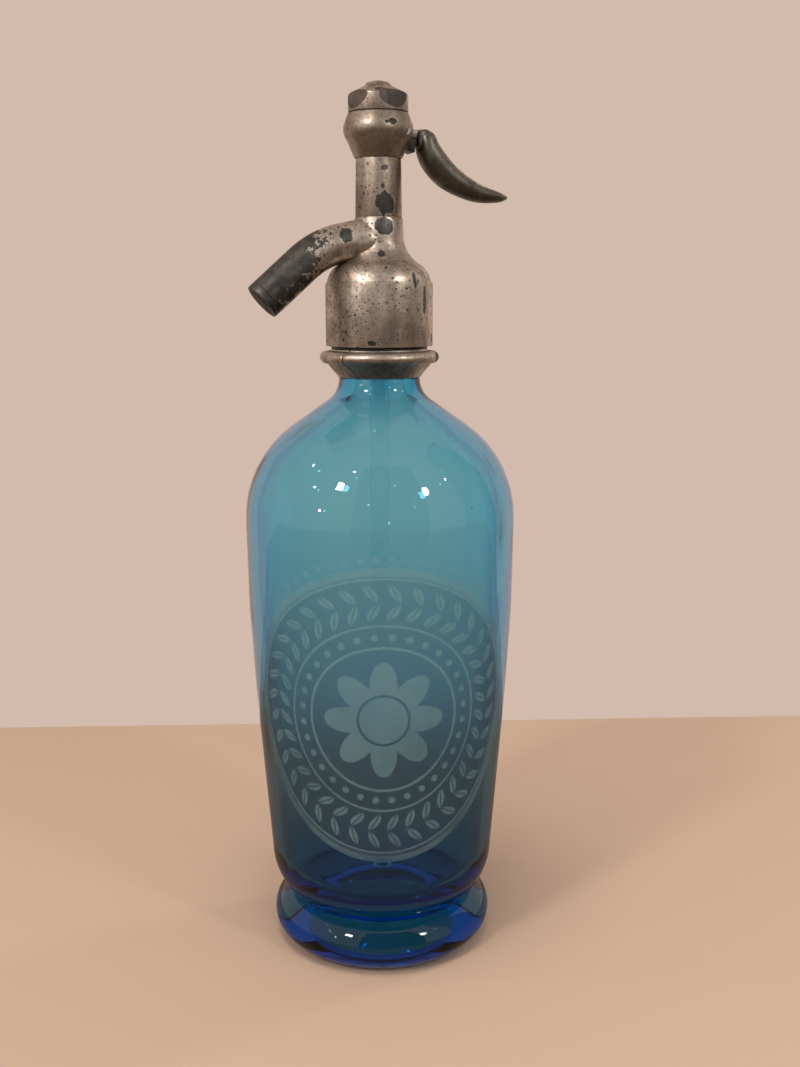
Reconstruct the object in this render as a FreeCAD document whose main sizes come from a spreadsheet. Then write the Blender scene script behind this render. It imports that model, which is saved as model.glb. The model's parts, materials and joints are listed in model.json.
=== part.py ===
import FreeCAD, Part
import math
import os

import Sketcher

# Soda siphon, in millimetres. The origin is the middle of the foot, +Z is up,
# the spout points to -X and the lever to +X.

DOC = FreeCAD.newDocument("SodaSiphon")
SHEET = DOC.addObject("Spreadsheet::Sheet", "Sizes")

SIZES = {
    # Bottle, outside
    "foot_flat_inner": 26.0,
    "foot_radius": 40.8,
    "foot_bulge": 8.9,
    "waist_radius": 33.2,
    "waist_height": 17.7,
    "heel_radius": 41.4,
    "heel_height": 35.0,
    "heel_bend": 22.0,
    "side_radius": 46.3,
    "side_height": 97.0,
    "belly_radius": 48.5,
    "belly_height": 156.0,
    "belly_bend": 760.0,
    "shoulder_start": 160.0,
    "shoulder_bend": 40.0,
    "cone_radius": 31.4,
    "cone_height": 192.8,
    "cone_top_radius": 18.3,
    "cone_top_height": 202.0,
    "throat_bend": 9.1,
    "throat_radius": 14.4,
    "throat_height": 209.4,
    # Bottle, neck inside the collar
    "glass_neck_radius": 12.6,
    "glass_seat": 210.1,
    "bead_radius": 15.2,
    "bead_bottom": 229.9,
    "lip_height": 235.5,
    "neck_bore": 8.4,
    "glass_wall": 4.5,
    "cone_slope": 55.0,
    "throat_inner_radius": 13.0,
    "throat_inner_height": 200.4,
    "shoulder_inner_radius": 39.4,
    "shoulder_inner_height": 177.6,
    "corner_inner_radius": 34.2,
    "corner_inner_height": 25.6,
    "floor_radius": 26.0,
    "floor_height": 21.0,
    "punt_height": 12.0,
    # Split collar
    "collar_bore": 12.7,
    "collar_edge": 14.7,
    "collar_waist": 18.6,
    "collar_bead": 2.1,
    "collar_bead_height": 217.1,
    "thread_radius": 16.95,
    "collar_kerf": 0.35,
    "collar_slant": 2.2,
    "collar_turn": -56.0,
    "packing_radius": 13.6,
    "packing_bottom": 222.0,
    # Head casting
    "skirt_bottom": 221.0,
    "skirt_radius": 18.85,
    "skirt_top": 242.5,
    "skirt_bore": 17.05,
    "shelf_height": 237.5,
    "nipple_radius": 7.6,
    "nipple_bottom": 226.0,
    "nipple_bore": 4.05,
    "dome_bend": 9.0,
    "dome_radius": 13.6,
    "dome_height": 249.5,
    "neck_bend": 11.3,
    "head_neck_radius": 8.7,
    "head_neck_height": 258.0,
    "head_top_radius": 8.35,
    "head_top": 265.0,
    "water_way": 2.2,
    "chamber_radius": 4.6,
    "chamber_floor": 248.0,
    "socket_radius": 6.5,
    "socket_floor": 260.0,
    # Spout
    "spout_height": 256.7,
    "spout_straight": 7.6,
    "spout_bend": 30.1,
    "spout_angle": 41.3,
    "spout_length": 19.8,
    "spout_radius": 6.7,
    "flare_radius": 8.1,
    "flare_start": 7.3,
    "flare_end": 10.6,
    "flare_bend": 4.0,
    "flare_depth": 0.35,
    "spout_bore": 2.5,
    "nozzle_radius": 5.2,
    "nozzle_bore": 3.6,
    "nozzle_length": 12.0,
    "nozzle_recess": 1.4,
    # Barrel
    "barrel_bottom_radius": 8.1,
    "barrel_top_radius": 7.8,
    "barrel_top": 284.7,
    "barrel_bore": 5.0,
    "barrel_spigot": 6.45,
    "barrel_spigot_top": 288.6,
    "washer_thickness": 0.8,
    # Lever housing
    "housing_bottom_radius": 8.3,
    "bulge_low_radius": 10.3,
    "bulge_low": 289.4,
    "bulge_round_low_radius": 11.35,
    "bulge_round_low": 291.3,
    "bulge_round_top_radius": 11.5,
    "bulge_round_top": 296.6,
    "bulge_bend": 5.8,
    "bulge_top_radius": 10.45,
    "housing_top": 299.3,
    "housing_bore": 5.6,
    "cap_thread": 7.7,
    "cap_thread_bottom": 295.8,
    "slot_width": 4.0,
    "slot_bottom": 288.6,
    "slot_top": 296.4,
    "lug_width": 7.2,
    "lug_root": 4.0,
    "lug_reach": 12.2,
    "lug_bottom": 285.5,
    "lug_top": 291.2,
    "lug_round": 0.4,
    # Cap
    "cap_radius": 10.3,
    "cap_shoulder": 304.2,
    "cap_cone": 4.6,
    "cap_cone_height": 308.0,
    "total_height": 310.0,
    "cap_ceiling": 306.4,
    "flat_distance": 9.0,
    "flat_bottom": 300.6,
    "flat_half": 5.6,
    "flat_bend": 6.2,
    "flat_turn": 11.0,
    # Lever and its pin
    "pivot_reach": 7.0,
    "pivot_height": 293.0,
    "pin_radius": 1.2,
    "pin_half_length": 9.4,
    "lever_thickness": 3.6,
    "hub_radius": 2.5,
    "neck_low": 291.4,
    "neck_high": 294.5,
    "neck_end": 17.0,
    "finger_tilt": 6.0,
    "finger_half": 1.0,
    "finger_tip": 1.5,
    # Piston, its valve and seal
    "rod_radius": 1.9,
    "seat_radius": 4.0,
    "seat_bore": 2.0,
    "seat_bottom": 246.0,
    "seat_height": 249.5,
    "valve_radius": 3.6,
    "cup_radius": 4.2,
    "leather_radius": 4.92,
    "leather_top": 272.5,
    "nut_flats": 6.5,
    "crosshead_radius": 4.5,
    "crosshead_bottom": 287.6,
    "crosshead_top": 297.0,
    "crosshead_slot": 3.3,
    "spring_radius": 3.9,
    "spring_wire": 0.55,
    # Dip tube
    "tube_radius": 3.3,
    "tube_bore": 2.0,
    "tube_bottom": 25.5,
    "tube_top": 236.5,
    # Clearance between screwed or pushed pieces
    "play": 0.05,
}

# The lever's arm, from its rounded top to its tip: place of each section, its lean
# from upright, and its half depth and half width.
ARM = [
    (16.5, 294.75, 84.0, 1.2, 1.5),
    (17.2, 292.6, 75.0, 3.2, 3.8),
    (18.1, 288.6, 66.0, 4.2, 4.9),
    (20.9, 284.0, 52.0, 4.7, 5.6),
    (26.6, 278.7, 36.0, 4.4, 5.5),
    (36.2, 274.2, 16.0, 3.3, 4.4),
    (44.6, 272.8, 5.0, 2.0, 3.0),
    (48.3, 272.6, 2.0, 0.7, 1.1),
]
ARM_WORDS = ("reach", "height", "lean", "depth", "width")


class Size:
    """A number together with the spreadsheet expression that gives it."""

    def __init__(self, text, value):
        self.text = text
        self.value = value

    def __add__(self, other):
        other = as_size(other)
        return Size(f"({self.text} + {other.text})", self.value + other.value)

    def __sub__(self, other):
        other = as_size(other)
        return Size(f"({self.text} - {other.text})", self.value - other.value)

    def __mul__(self, other):
        other = as_size(other)
        return Size(f"({self.text} * {other.text})", self.value * other.value)

    def __truediv__(self, other):
        other = as_size(other)
        return Size(f"({self.text} / {other.text})", self.value / other.value)

    def __neg__(self):
        return Size(f"(-{self.text})", -self.value)


def as_size(thing):
    """Numbers become sizes, sizes stay as they are."""
    return thing if isinstance(thing, Size) else Size(str(float(thing)), float(thing))


def sine(angle):
    return Size(f"sin({angle.text} * 1deg)", math.sin(math.radians(angle.value)))


def cosine(angle):
    return Size(f"cos({angle.text} * 1deg)", math.cos(math.radians(angle.value)))


def fill_sheet():
    """Put every size in a cell with its own name, and hand back the named sizes."""
    rows = dict(SIZES)
    for count, section in enumerate(ARM):
        for word, number in zip(ARM_WORDS, section):
            rows[f"arm{count}_{word}"] = number
    for line, (name, number) in enumerate(rows.items(), start=1):
        SHEET.set(f"A{line}", name.replace("_", " "))
        SHEET.set(f"B{line}", str(number))
        SHEET.setAlias(f"B{line}", name)
    DOC.recompute()
    return {name: Size(f"Sizes.{name}", number) for name, number in rows.items()}


S = fill_sheet()


def bind(thing, path, size):
    """Tie a property to the sheet."""
    thing.setExpression(path, as_size(size).text)


def new_body(label):
    body = DOC.addObject("PartDesign::Body", label)
    body.Label = label
    return body


def plane_of(body, role):
    return next(item for item in body.Origin.OriginFeatures if item.Role == role)


def new_sketch(body, name, role="XZ_Plane"):
    sketch = body.newObject("Sketcher::SketchObject", name)
    sketch.AttachmentSupport = [(plane_of(body, role), "")]
    sketch.MapMode = "FlatFace"
    return sketch


def bind_constraint(sketch, kind, where, size, name):
    """Add a dimension, name it and tie it to the sheet."""
    number = sketch.addConstraint(Sketcher.Constraint(kind, *where, size.value))
    sketch.renameConstraint(number, name)
    bind(sketch, f"Constraints.{name}", size)


def arc_between(start, end, bend):
    """The shorter arc between two points, turning left where bend is positive."""
    along = end - start
    radius = abs(bend)
    aside = math.sqrt(max(radius ** 2 - (along.Length / 2) ** 2, 0.0))
    left = FreeCAD.Vector(-along.y, along.x, 0).normalize()
    centre = (start + end) * 0.5 + left * math.copysign(aside, bend)
    first, last = (start, end) if bend > 0 else (end, start)
    angles = [math.atan2(spot.y - centre.y, spot.x - centre.x) for spot in (first, last)]
    return Part.ArcOfCircle(Part.Circle(centre, FreeCAD.Vector(0, 0, 1), radius), *angles)


def draw(sketch, corners, closed=True):
    """Draw lines and arcs through the corners (across, up) or (across, up, bend).

    bend is the radius of the arc that arrives at that corner, with the sign of its turn.
    """
    corners = [tuple(as_size(item) for item in corner) for corner in corners]
    spots = [FreeCAD.Vector(corner[0].value, corner[1].value, 0) for corner in corners]
    steps = list(range(len(corners))) if closed else list(range(1, len(corners)))
    ends = {}
    for index in steps:
        bend = corners[index][2] if len(corners[index]) > 2 else None
        if bend is None:
            edge = sketch.addGeometry(Part.LineSegment(spots[index - 1], spots[index]))
            ends[index] = (edge, 1, 2)
            continue
        edge = sketch.addGeometry(arc_between(spots[index - 1], spots[index], bend.value))
        ends[index] = (edge, 1, 2) if bend.value > 0 else (edge, 2, 1)
        radius = bend if bend.value > 0 else -bend
        bind_constraint(sketch, "Radius", (edge,), radius, f"bend{index}")
    for index in steps:
        following = index + 1 if index + 1 in ends else steps[0]
        if closed or following > index:
            sketch.addConstraint(Sketcher.Constraint(
                "Coincident", ends[index][0], ends[index][2], ends[following][0], ends[following][1]))
    marks = [(index, ends[index][0], ends[index][2]) for index in steps]
    if not closed:
        marks.insert(0, (0, ends[1][0], ends[1][1]))
    for index, edge, side in marks:
        bind_constraint(sketch, "DistanceX", (-1, 1, edge, side), corners[index][0], f"across{index}")
        bind_constraint(sketch, "DistanceY", (-1, 1, edge, side), corners[index][1], f"up{index}")


def draw_circle(sketch, across, up, radius):
    """Draw a circle whose centre and radius are tied to the sheet."""
    across, up, radius = as_size(across), as_size(up), as_size(radius)
    centre = FreeCAD.Vector(across.value, up.value, 0)
    edge = sketch.addGeometry(Part.Circle(centre, FreeCAD.Vector(0, 0, 1), radius.value))
    bind_constraint(sketch, "Radius", (edge,), radius, "radius")
    bind_constraint(sketch, "DistanceX", (-1, 1, edge, 3), across, "across")
    bind_constraint(sketch, "DistanceY", (-1, 1, edge, 3), up, "up")


def revolve(body, name, corners, kind="Revolution", role="XZ_Plane"):
    """Turn an upright outline about the Z axis, as a solid or a groove."""
    sketch = new_sketch(body, name + "_outline", role)
    draw(sketch, corners)
    turn = body.newObject("PartDesign::" + kind, name)
    turn.Profile = sketch
    turn.ReferenceAxis = (sketch, ["V_Axis"])
    turn.Angle = 360
    return turn


def turned(label, corners):
    """A sub-part that is a single turned outline."""
    body = new_body(label)
    revolve(body, label + "_turning", corners)
    return body


def extrude(body, sketch, name, length, kind="Pad"):
    """Pad or pocket a sketch by a length, half to each side of its plane."""
    feature = body.newObject("PartDesign::" + kind, name)
    feature.Profile = sketch
    bind(feature, "Length", length)
    feature.SideType = "Symmetric"
    return feature


def tube(label, inner, outer, bottom, top):
    """A plain ring or tube about the Z axis."""
    return turned(label, [(inner, bottom), (outer, bottom), (outer, top), (inner, top)])


def edges_where(shape, test):
    """Names of the edges that pass the test."""
    return [f"Edge{number}" for number, edge in enumerate(shape.Edges, start=1) if test(edge)]


def soften(body, name, test, radius):
    """Round the edges of the body's last feature that pass the test."""
    DOC.recompute()
    base = body.Tip
    rounding = body.newObject("PartDesign::Fillet", name)
    rounding.Base = (base, edges_where(base.Shape, test))
    bind(rounding, "Radius", radius)
    return rounding


def cap_bend(radius, rise):
    """Radius of the sphere that rises by rise from a circle of that radius."""
    return (radius * radius / rise + rise) / 2


def make_bottle():
    """Blown glass with a foot ring, a pushed-up base and a beaded neck."""
    wall = S["glass_wall"]
    inward, downward = wall * cosine(S["cone_slope"]), wall * sine(S["cone_slope"])
    outside = [
        (0, S["punt_height"]),
        (S["foot_flat_inner"], 0, -cap_bend(S["foot_flat_inner"], S["punt_height"])),
        (S["foot_radius"] - S["foot_bulge"], 0),
        (S["foot_radius"], S["foot_bulge"], S["foot_bulge"]),
        (S["waist_radius"], S["waist_height"], S["foot_bulge"]),
        (S["heel_radius"], S["heel_height"], S["heel_bend"]),
        (S["side_radius"], S["side_height"]),
        (S["belly_radius"], S["belly_height"], S["belly_bend"]),
        (S["belly_radius"], S["shoulder_start"]),
        (S["cone_radius"], S["cone_height"], S["shoulder_bend"]),
        (S["cone_top_radius"], S["cone_top_height"]),
        (S["throat_radius"], S["throat_height"], -S["throat_bend"]),
        (S["throat_radius"], S["glass_seat"]),
        (S["glass_neck_radius"], S["glass_seat"]),
        (S["glass_neck_radius"], S["bead_bottom"]),
        (S["bead_radius"], S["bead_bottom"]),
        (S["bead_radius"], S["lip_height"] - 0.8),
        (S["bead_radius"] - 0.8, S["lip_height"]),
    ]
    inside = [
        (S["neck_bore"], S["lip_height"]),
        (S["neck_bore"], S["throat_height"]),
        (S["throat_inner_radius"], S["throat_inner_height"]),
        (S["cone_radius"] - inward, S["cone_height"] - downward),
        (S["shoulder_inner_radius"], S["shoulder_inner_height"]),
        (S["belly_radius"] - wall, S["shoulder_start"]),
        (S["side_radius"] - wall, S["side_height"]),
        (S["heel_radius"] - wall, S["heel_height"]),
        (S["corner_inner_radius"], S["corner_inner_height"]),
        (S["floor_radius"], S["floor_height"]),
        (0, S["floor_height"]),
    ]
    return turned("bottle", outside + inside)


def make_dip_tube():
    return tube("dip_tube", S["tube_bore"], S["tube_radius"], S["tube_bottom"], S["tube_top"])


def make_tube_sleeve():
    """Rubber ferrule: a sleeve in the head's nipple with a flange under its end."""
    inner = S["tube_radius"] + S["play"]
    return turned("tube_sleeve", [
        (inner, S["nipple_bottom"] - 1.2),
        (S["nipple_bore"] + 1.3, S["nipple_bottom"] - 1.2),
        (S["nipple_bore"] + 1.3, S["nipple_bottom"]),
        (S["nipple_bore"] - S["play"], S["nipple_bottom"]),
        (S["nipple_bore"] - S["play"], S["tube_top"]),
        (inner, S["tube_top"]),
    ])


def make_neck_gasket():
    return tube("neck_gasket", S["neck_bore"] + 0.1, S["bead_radius"] - 0.4, S["lip_height"], S["shelf_height"])


def make_collar_half(label, side):
    """Half of the split ring: cone, bead and threaded sleeve, parted by a bent joint."""
    body = new_body(label)
    bead, middle = S["collar_bead"], S["collar_bead_height"]
    revolve(body, label + "_turning", [
        (S["collar_bore"], S["glass_seat"]),
        (S["collar_edge"], S["glass_seat"]),
        (S["collar_edge"] + 0.3, S["glass_seat"] + 0.6),
        (S["collar_waist"], middle - bead),
        (S["collar_waist"] + bead + 0.4, middle, bead + 0.1),
        (S["collar_waist"], middle + bead, bead + 0.1),
        (S["thread_radius"], middle + bead + 0.2),
        (S["thread_radius"], S["bead_bottom"]),
        (S["packing_radius"], S["bead_bottom"]),
        (S["packing_radius"], S["packing_bottom"]),
        (S["collar_bore"], S["packing_bottom"]),
    ])
    parting = new_sketch(body, label + "_parting")
    half_kerf = S["collar_kerf"] / 2 * -side
    away = S["foot_radius"] * side
    corners = [
        (half_kerf, S["lip_height"]),
        (half_kerf, middle - bead + 0.4),
        (half_kerf + S["collar_slant"], S["glass_seat"] - 1.0),
        (away, S["glass_seat"] - 1.0),
        (away, S["lip_height"]),
    ]
    draw(parting, corners)
    extrude(body, parting, label + "_half", S["foot_radius"] * 2, "Pocket")
    bind(body, "Placement.Rotation.Angle", S["collar_turn"])
    return body


def make_collar_packing():
    return tube("collar_packing", S["collar_bore"], S["packing_radius"] - S["play"],
                S["packing_bottom"], S["bead_bottom"])


def tilted_sketch(body, name, role, place, axis, angle):
    """A sketch on a plane of the body, moved to a place and turned about an axis."""
    sketch = new_sketch(body, name, role)
    sketch.AttachmentOffset = FreeCAD.Placement(FreeCAD.Vector(), FreeCAD.Rotation(axis, 1.0))
    for letter, size in zip("xyz", place):
        bind(sketch, f"AttachmentOffset.Base.{letter}", size)
    bind(sketch, "AttachmentOffset.Rotation.Angle", angle)
    return sketch


def spout_spot(distance):
    """Place on the spout's axis, measured from the mouth back up the straight stretch."""
    angle, bend = S["spout_angle"], S["spout_bend"]
    along = S["spout_length"] - distance
    reach = -S["spout_straight"] - bend * sine(angle) - along * cosine(angle)
    height = S["spout_height"] - bend + bend * cosine(angle) - along * sine(angle)
    return reach, height


def spout_path(body, name, start, distance):
    """The spout's axis: level, then round the bend, then straight down to the mouth."""
    sketch = new_sketch(body, name)
    draw(sketch, [
        (start, S["spout_height"]),
        (-S["spout_straight"], S["spout_height"]),
        (*spout_spot(S["spout_length"]), S["spout_bend"]),
        spout_spot(distance),
    ], closed=False)
    return sketch


def spout_pipe(body, name, kind, start, radius, distance):
    """A round pipe along the spout's axis."""
    circle = tilted_sketch(body, name + "_circle", "YZ_Plane", (0, 0, start), FreeCAD.Vector(0, 1, 0), 0)
    draw_circle(circle, 0, S["spout_height"], radius)
    pipe = body.newObject("PartDesign::" + kind, name)
    pipe.Profile = circle
    pipe.Spine = spout_path(body, name + "_path", start, distance)
    return pipe


def spout_flare(body):
    """The flare where the spout grows out of the neck, turned about the spout's level axis."""
    middle = S["spout_height"]
    sketch = new_sketch(body, "flare_outline")
    draw(sketch, [
        (0, middle),
        (0, middle + S["flare_radius"]),
        (-S["flare_start"], middle + S["flare_radius"]),
        (-S["flare_end"], middle + S["spout_radius"] - S["flare_depth"], -S["flare_bend"]),
        (-S["flare_end"], middle),
    ])
    flare = body.newObject("PartDesign::Revolution", "spout_flare")
    flare.Profile = sketch
    flare.ReferenceAxis = (sketch, ["Edge1"])
    flare.Angle = 360
    return flare


def make_head_casting():
    """Skirt, dome, neck and bent spout in one casting, with its water ways."""
    body = new_body("head_casting")
    revolve(body, "head_turning", [
        (S["nipple_bore"], S["nipple_bottom"]),
        (S["nipple_radius"], S["nipple_bottom"]),
        (S["nipple_radius"], S["shelf_height"]),
        (S["skirt_bore"], S["shelf_height"]),
        (S["skirt_bore"], S["skirt_bottom"]),
        (S["skirt_radius"], S["skirt_bottom"]),
        (S["skirt_radius"], S["skirt_top"]),
        (S["skirt_radius"] - 0.6, S["skirt_top"] + 0.4),
        (S["dome_radius"], S["dome_height"], S["dome_bend"]),
        (S["head_neck_radius"], S["head_neck_height"], -S["neck_bend"]),
        (S["head_top_radius"], S["head_top"] - 0.6),
        (S["head_top_radius"] - 0.3, S["head_top"]),
        (S["water_way"], S["head_top"]),
        (S["water_way"], S["tube_top"]),
        (S["nipple_bore"], S["tube_top"]),
    ])
    spout_pipe(body, "spout", "AdditivePipe", 0, S["spout_radius"], 0)
    spout_flare(body)
    revolve(body, "valve_chamber", [
        (0, S["seat_bottom"]),
        (S["seat_radius"] + S["play"], S["seat_bottom"]),
        (S["seat_radius"] + S["play"], S["chamber_floor"]),
        (S["chamber_radius"], S["chamber_floor"]),
        (S["chamber_radius"], S["socket_floor"]),
        (S["socket_radius"], S["socket_floor"]),
        (S["socket_radius"], S["head_top"] + 1.0),
        (0, S["head_top"] + 1.0),
    ], "Groove")
    spout_pipe(body, "spout_way", "SubtractivePipe", -3.0, S["spout_bore"], -1.0)
    reach, height = spout_spot(0)
    nozzle_hole = tilted_sketch(body, "nozzle_hole", "YZ_Plane", (0, height, reach),
                                FreeCAD.Vector(1, 0, 0), -S["spout_angle"])
    draw_circle(nozzle_hole, 0, 0, S["nozzle_radius"] + S["play"])
    extrude(body, nozzle_hole, "nozzle_pocket", (S["nozzle_length"] + S["nozzle_recess"]) * 2, "Pocket")
    return body


def make_spout_nozzle():
    """Liner tube pushed into the spout's mouth."""
    body = new_body("spout_nozzle")
    revolve(body, "nozzle_turning", [
        (S["nozzle_bore"], 0),
        (S["nozzle_radius"], 0),
        (S["nozzle_radius"], S["nozzle_length"]),
        (S["nozzle_bore"] + 0.6, S["nozzle_length"]),
        (S["nozzle_bore"], S["nozzle_length"] - 1.0),
    ])
    reach, height = spout_spot(S["nozzle_length"] + S["nozzle_recess"])
    body.Placement = FreeCAD.Placement(FreeCAD.Vector(), FreeCAD.Rotation(FreeCAD.Vector(0, 1, 0), 1.0))
    bind(body, "Placement.Base.x", reach)
    bind(body, "Placement.Base.z", height)
    bind(body, "Placement.Rotation.Angle", -S["spout_angle"] - 90.0)
    return body


def make_column_barrel():
    """Straight barrel with a screwed spigot at each end."""
    return turned("column_barrel", [
        (S["barrel_bore"], S["socket_floor"] + S["washer_thickness"]),
        (S["barrel_spigot"], S["socket_floor"] + S["washer_thickness"]),
        (S["barrel_spigot"], S["head_top"]),
        (S["barrel_bottom_radius"], S["head_top"]),
        (S["barrel_top_radius"], S["barrel_top"]),
        (S["barrel_spigot"], S["barrel_top"]),
        (S["barrel_spigot"], S["barrel_spigot_top"]),
        (S["barrel_bore"], S["barrel_spigot_top"]),
    ])


def make_barrel_washer():
    return tube("barrel_washer", S["chamber_radius"] + 0.1, S["barrel_spigot"],
                S["socket_floor"], S["socket_floor"] + S["washer_thickness"])


def make_lever_housing():
    """Bulge on top of the barrel, slotted for the lever, with a lug under the slot."""
    body = new_body("lever_housing")
    revolve(body, "housing_turning", [
        (0, S["barrel_top"]),
        (S["housing_bottom_radius"], S["barrel_top"]),
        (S["bulge_low_radius"], S["bulge_low"]),
        (S["bulge_round_low_radius"], S["bulge_round_low"]),
        (S["bulge_round_top_radius"], S["bulge_round_top"], S["bulge_bend"]),
        (S["bulge_top_radius"], S["housing_top"]),
        (0, S["housing_top"]),
    ], role="YZ_Plane")
    lug = new_sketch(body, "lug_outline")
    draw(lug, [
        (S["lug_root"], S["bulge_low"]),
        (S["lug_reach"], S["lug_bottom"]),
        (S["lug_reach"], S["lug_top"]),
        (S["lug_root"], S["lug_top"]),
    ])
    extrude(body, lug, "lug", S["lug_width"])
    soften(body, "lug_round", is_lug_face, S["lug_round"])
    revolve(body, "housing_bores", [
        (0, S["barrel_top"] - 1.0),
        (S["barrel_spigot"] + S["play"], S["barrel_top"] - 1.0),
        (S["barrel_spigot"] + S["play"], S["barrel_spigot_top"]),
        (S["housing_bore"], S["barrel_spigot_top"]),
        (S["housing_bore"], S["cap_thread_bottom"]),
        (S["cap_thread"], S["cap_thread_bottom"]),
        (S["cap_thread"], S["housing_top"] + 1.0),
        (0, S["housing_top"] + 1.0),
    ], "Groove", "YZ_Plane")
    slot = new_sketch(body, "slot_outline")
    draw(slot, [
        (0, S["slot_bottom"]),
        (S["lug_reach"] + 4.0, S["slot_bottom"]),
        (S["lug_reach"] + 4.0, S["slot_top"]),
        (0, S["slot_top"]),
    ])
    extrude(body, slot, "slot", S["slot_width"], "Pocket")
    pin_hole = new_sketch(body, "pin_hole_outline")
    draw_circle(pin_hole, S["pivot_reach"], S["pivot_height"], S["pin_radius"] + 0.01)
    extrude(body, pin_hole, "pin_hole", S["cap_radius"] * 4, "Pocket")
    return body


def is_lug_face(edge):
    """The side and lower edges of the lug's front."""
    ends = [vertex.Point for vertex in edge.Vertexes]
    in_front = len(ends) == 2 and all(abs(spot.x - SIZES["lug_reach"]) < 0.01 for spot in ends)
    return in_front and min(spot.z for spot in ends) < SIZES["lug_top"] - 0.1


def make_cap_washer():
    return tube("cap_washer", S["cap_thread"], S["bulge_top_radius"] - 0.5,
                S["housing_top"], S["housing_top"] + 0.4)


def make_top_cap():
    """Screw cap over the spring: four spanner flats with curved lower edges and a low boss."""
    body = new_body("top_cap")
    seat = S["housing_top"] + 0.4
    spring_bore = S["housing_bore"]
    revolve(body, "cap_turning", [
        (spring_bore, S["cap_thread_bottom"] + 0.1),
        (S["cap_thread"] - S["play"], S["cap_thread_bottom"] + 0.1),
        (S["cap_thread"] - S["play"], seat),
        (S["cap_radius"], seat),
        (S["cap_radius"], S["cap_shoulder"]),
        (S["cap_radius"] - 0.9, S["cap_shoulder"] + 1.1),
        (S["cap_cone"], S["cap_cone_height"]),
        (S["cap_cone"] - 0.4, S["total_height"] - 0.8),
        (0, S["total_height"], cap_bend(S["cap_cone"] - 0.4, 0.8)),
        (0, S["cap_ceiling"]),
        (spring_bore, S["cap_ceiling"]),
    ])
    flat = tilted_sketch(body, "flat_outline", "XZ_Plane", (0, 0, S["flat_distance"]),
                         FreeCAD.Vector(0, 1, 0), 0)
    draw(flat, [
        (-S["flat_half"], S["total_height"]),
        (-S["flat_half"], S["cap_shoulder"]),
        (0, S["flat_bottom"], S["flat_bend"]),
        (S["flat_half"], S["cap_shoulder"], S["flat_bend"]),
        (S["flat_half"], S["total_height"]),
    ])
    cut = body.newObject("PartDesign::Pocket", "flat")
    cut.Profile = flat
    cut.Type = "ThroughAll"
    cut.Reversed = True
    around = body.newObject("PartDesign::PolarPattern", "flats")
    around.Originals = [cut]
    around.Axis = (next(item for item in body.Origin.OriginFeatures if item.Role == "Z_Axis"), [""])
    around.Angle = 360
    around.Occurrences = 4
    body.Tip = around
    bind(body, "Placement.Rotation.Angle", S["flat_turn"])
    return body


def make_lever_pin():
    """Pin across the housing, a hair short of the bulge on both sides."""
    body = new_body("lever_pin")
    sketch = new_sketch(body, "pin_outline")
    draw_circle(sketch, S["pivot_reach"], S["pivot_height"], S["pin_radius"])
    extrude(body, sketch, "pin", S["pin_half_length"] * 2)
    return body


def make_lever():
    """Horn-shaped arm on a short neck, with a finger that reaches into the crosshead."""
    body = new_body("lever")
    sections = []
    for count in range(len(ARM)):
        part = {word: S[f"arm{count}_{word}"] for word in ARM_WORDS}
        sketch = tilted_sketch(body, f"arm_section{count}", "XY_Plane",
                               (part["reach"], 0, part["height"]),
                               FreeCAD.Vector(0, 1, 0), part["lean"] - 90.0)
        draw_ellipse(sketch, part["depth"], part["width"])
        sections.append(sketch)
    arm = body.newObject("PartDesign::AdditiveLoft", "arm")
    arm.Profile = sections[0]
    arm.Sections = sections[1:]
    neck = new_sketch(body, "neck_outline")
    reach, height, hub = S["pivot_reach"], S["pivot_height"], S["hub_radius"]
    draw(neck, [
        (reach, height + hub),
        (reach - hub, height, hub),
        (reach, height - hub, hub),
        (reach + 2.6, S["neck_low"]),
        (S["neck_end"], S["neck_low"]),
        (S["neck_end"], S["neck_high"]),
        (reach + 2.6, S["neck_high"]),
    ])
    extrude(body, neck, "neck", S["lever_thickness"])
    finger = tilted_sketch(body, "finger_outline", "XZ_Plane", (reach, height, 0),
                           FreeCAD.Vector(0, 0, 1), S["finger_tilt"])
    draw(finger, [
        (0, -S["finger_half"]),
        (0, S["finger_half"]),
        (-reach, S["finger_half"]),
        (-reach, -S["finger_half"]),
    ])
    extrude(body, finger, "finger", S["lever_thickness"])
    tip = tilted_sketch(body, "tip_outline", "XZ_Plane", (reach, height, 0),
                        FreeCAD.Vector(0, 0, 1), S["finger_tilt"])
    draw_circle(tip, -reach, 0, S["finger_tip"])
    extrude(body, tip, "tip", S["lever_thickness"])
    hole = new_sketch(body, "lever_hole_outline")
    draw_circle(hole, reach, height, S["pin_radius"] + S["play"])
    extrude(body, hole, "lever_hole", S["cap_radius"] * 4, "Pocket")
    return body


def draw_ellipse(sketch, across, up):
    """Draw an upright ellipse about the sketch's origin, tied to the sheet."""
    far, side = FreeCAD.Vector(0, up.value, 0), FreeCAD.Vector(across.value, 0, 0)
    edge = sketch.addGeometry(Part.Ellipse(far, side, FreeCAD.Vector()))
    sketch.exposeInternalGeometry(edge)
    sketch.addConstraint(Sketcher.Constraint("Coincident", edge, 3, -1, 1))
    sketch.addConstraint(Sketcher.Constraint("PointOnObject", edge + 1, 1, -2))
    bind_constraint(sketch, "Distance", (edge + 1,), up * 2, "long_axis")
    bind_constraint(sketch, "Distance", (edge + 2,), across * 2, "short_axis")


def make_valve_seat():
    """Brass ring screwed into the chamber floor, with a raised lip."""
    lip = S["seat_bore"] + 0.9
    return turned("valve_seat", [
        (S["seat_bore"], S["seat_bottom"]),
        (S["seat_radius"], S["seat_bottom"]),
        (S["seat_radius"], S["seat_height"] - 0.8),
        (lip, S["seat_height"] - 0.4),
        (lip - 0.2, S["seat_height"]),
        (S["seat_bore"], S["seat_height"]),
    ])


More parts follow.
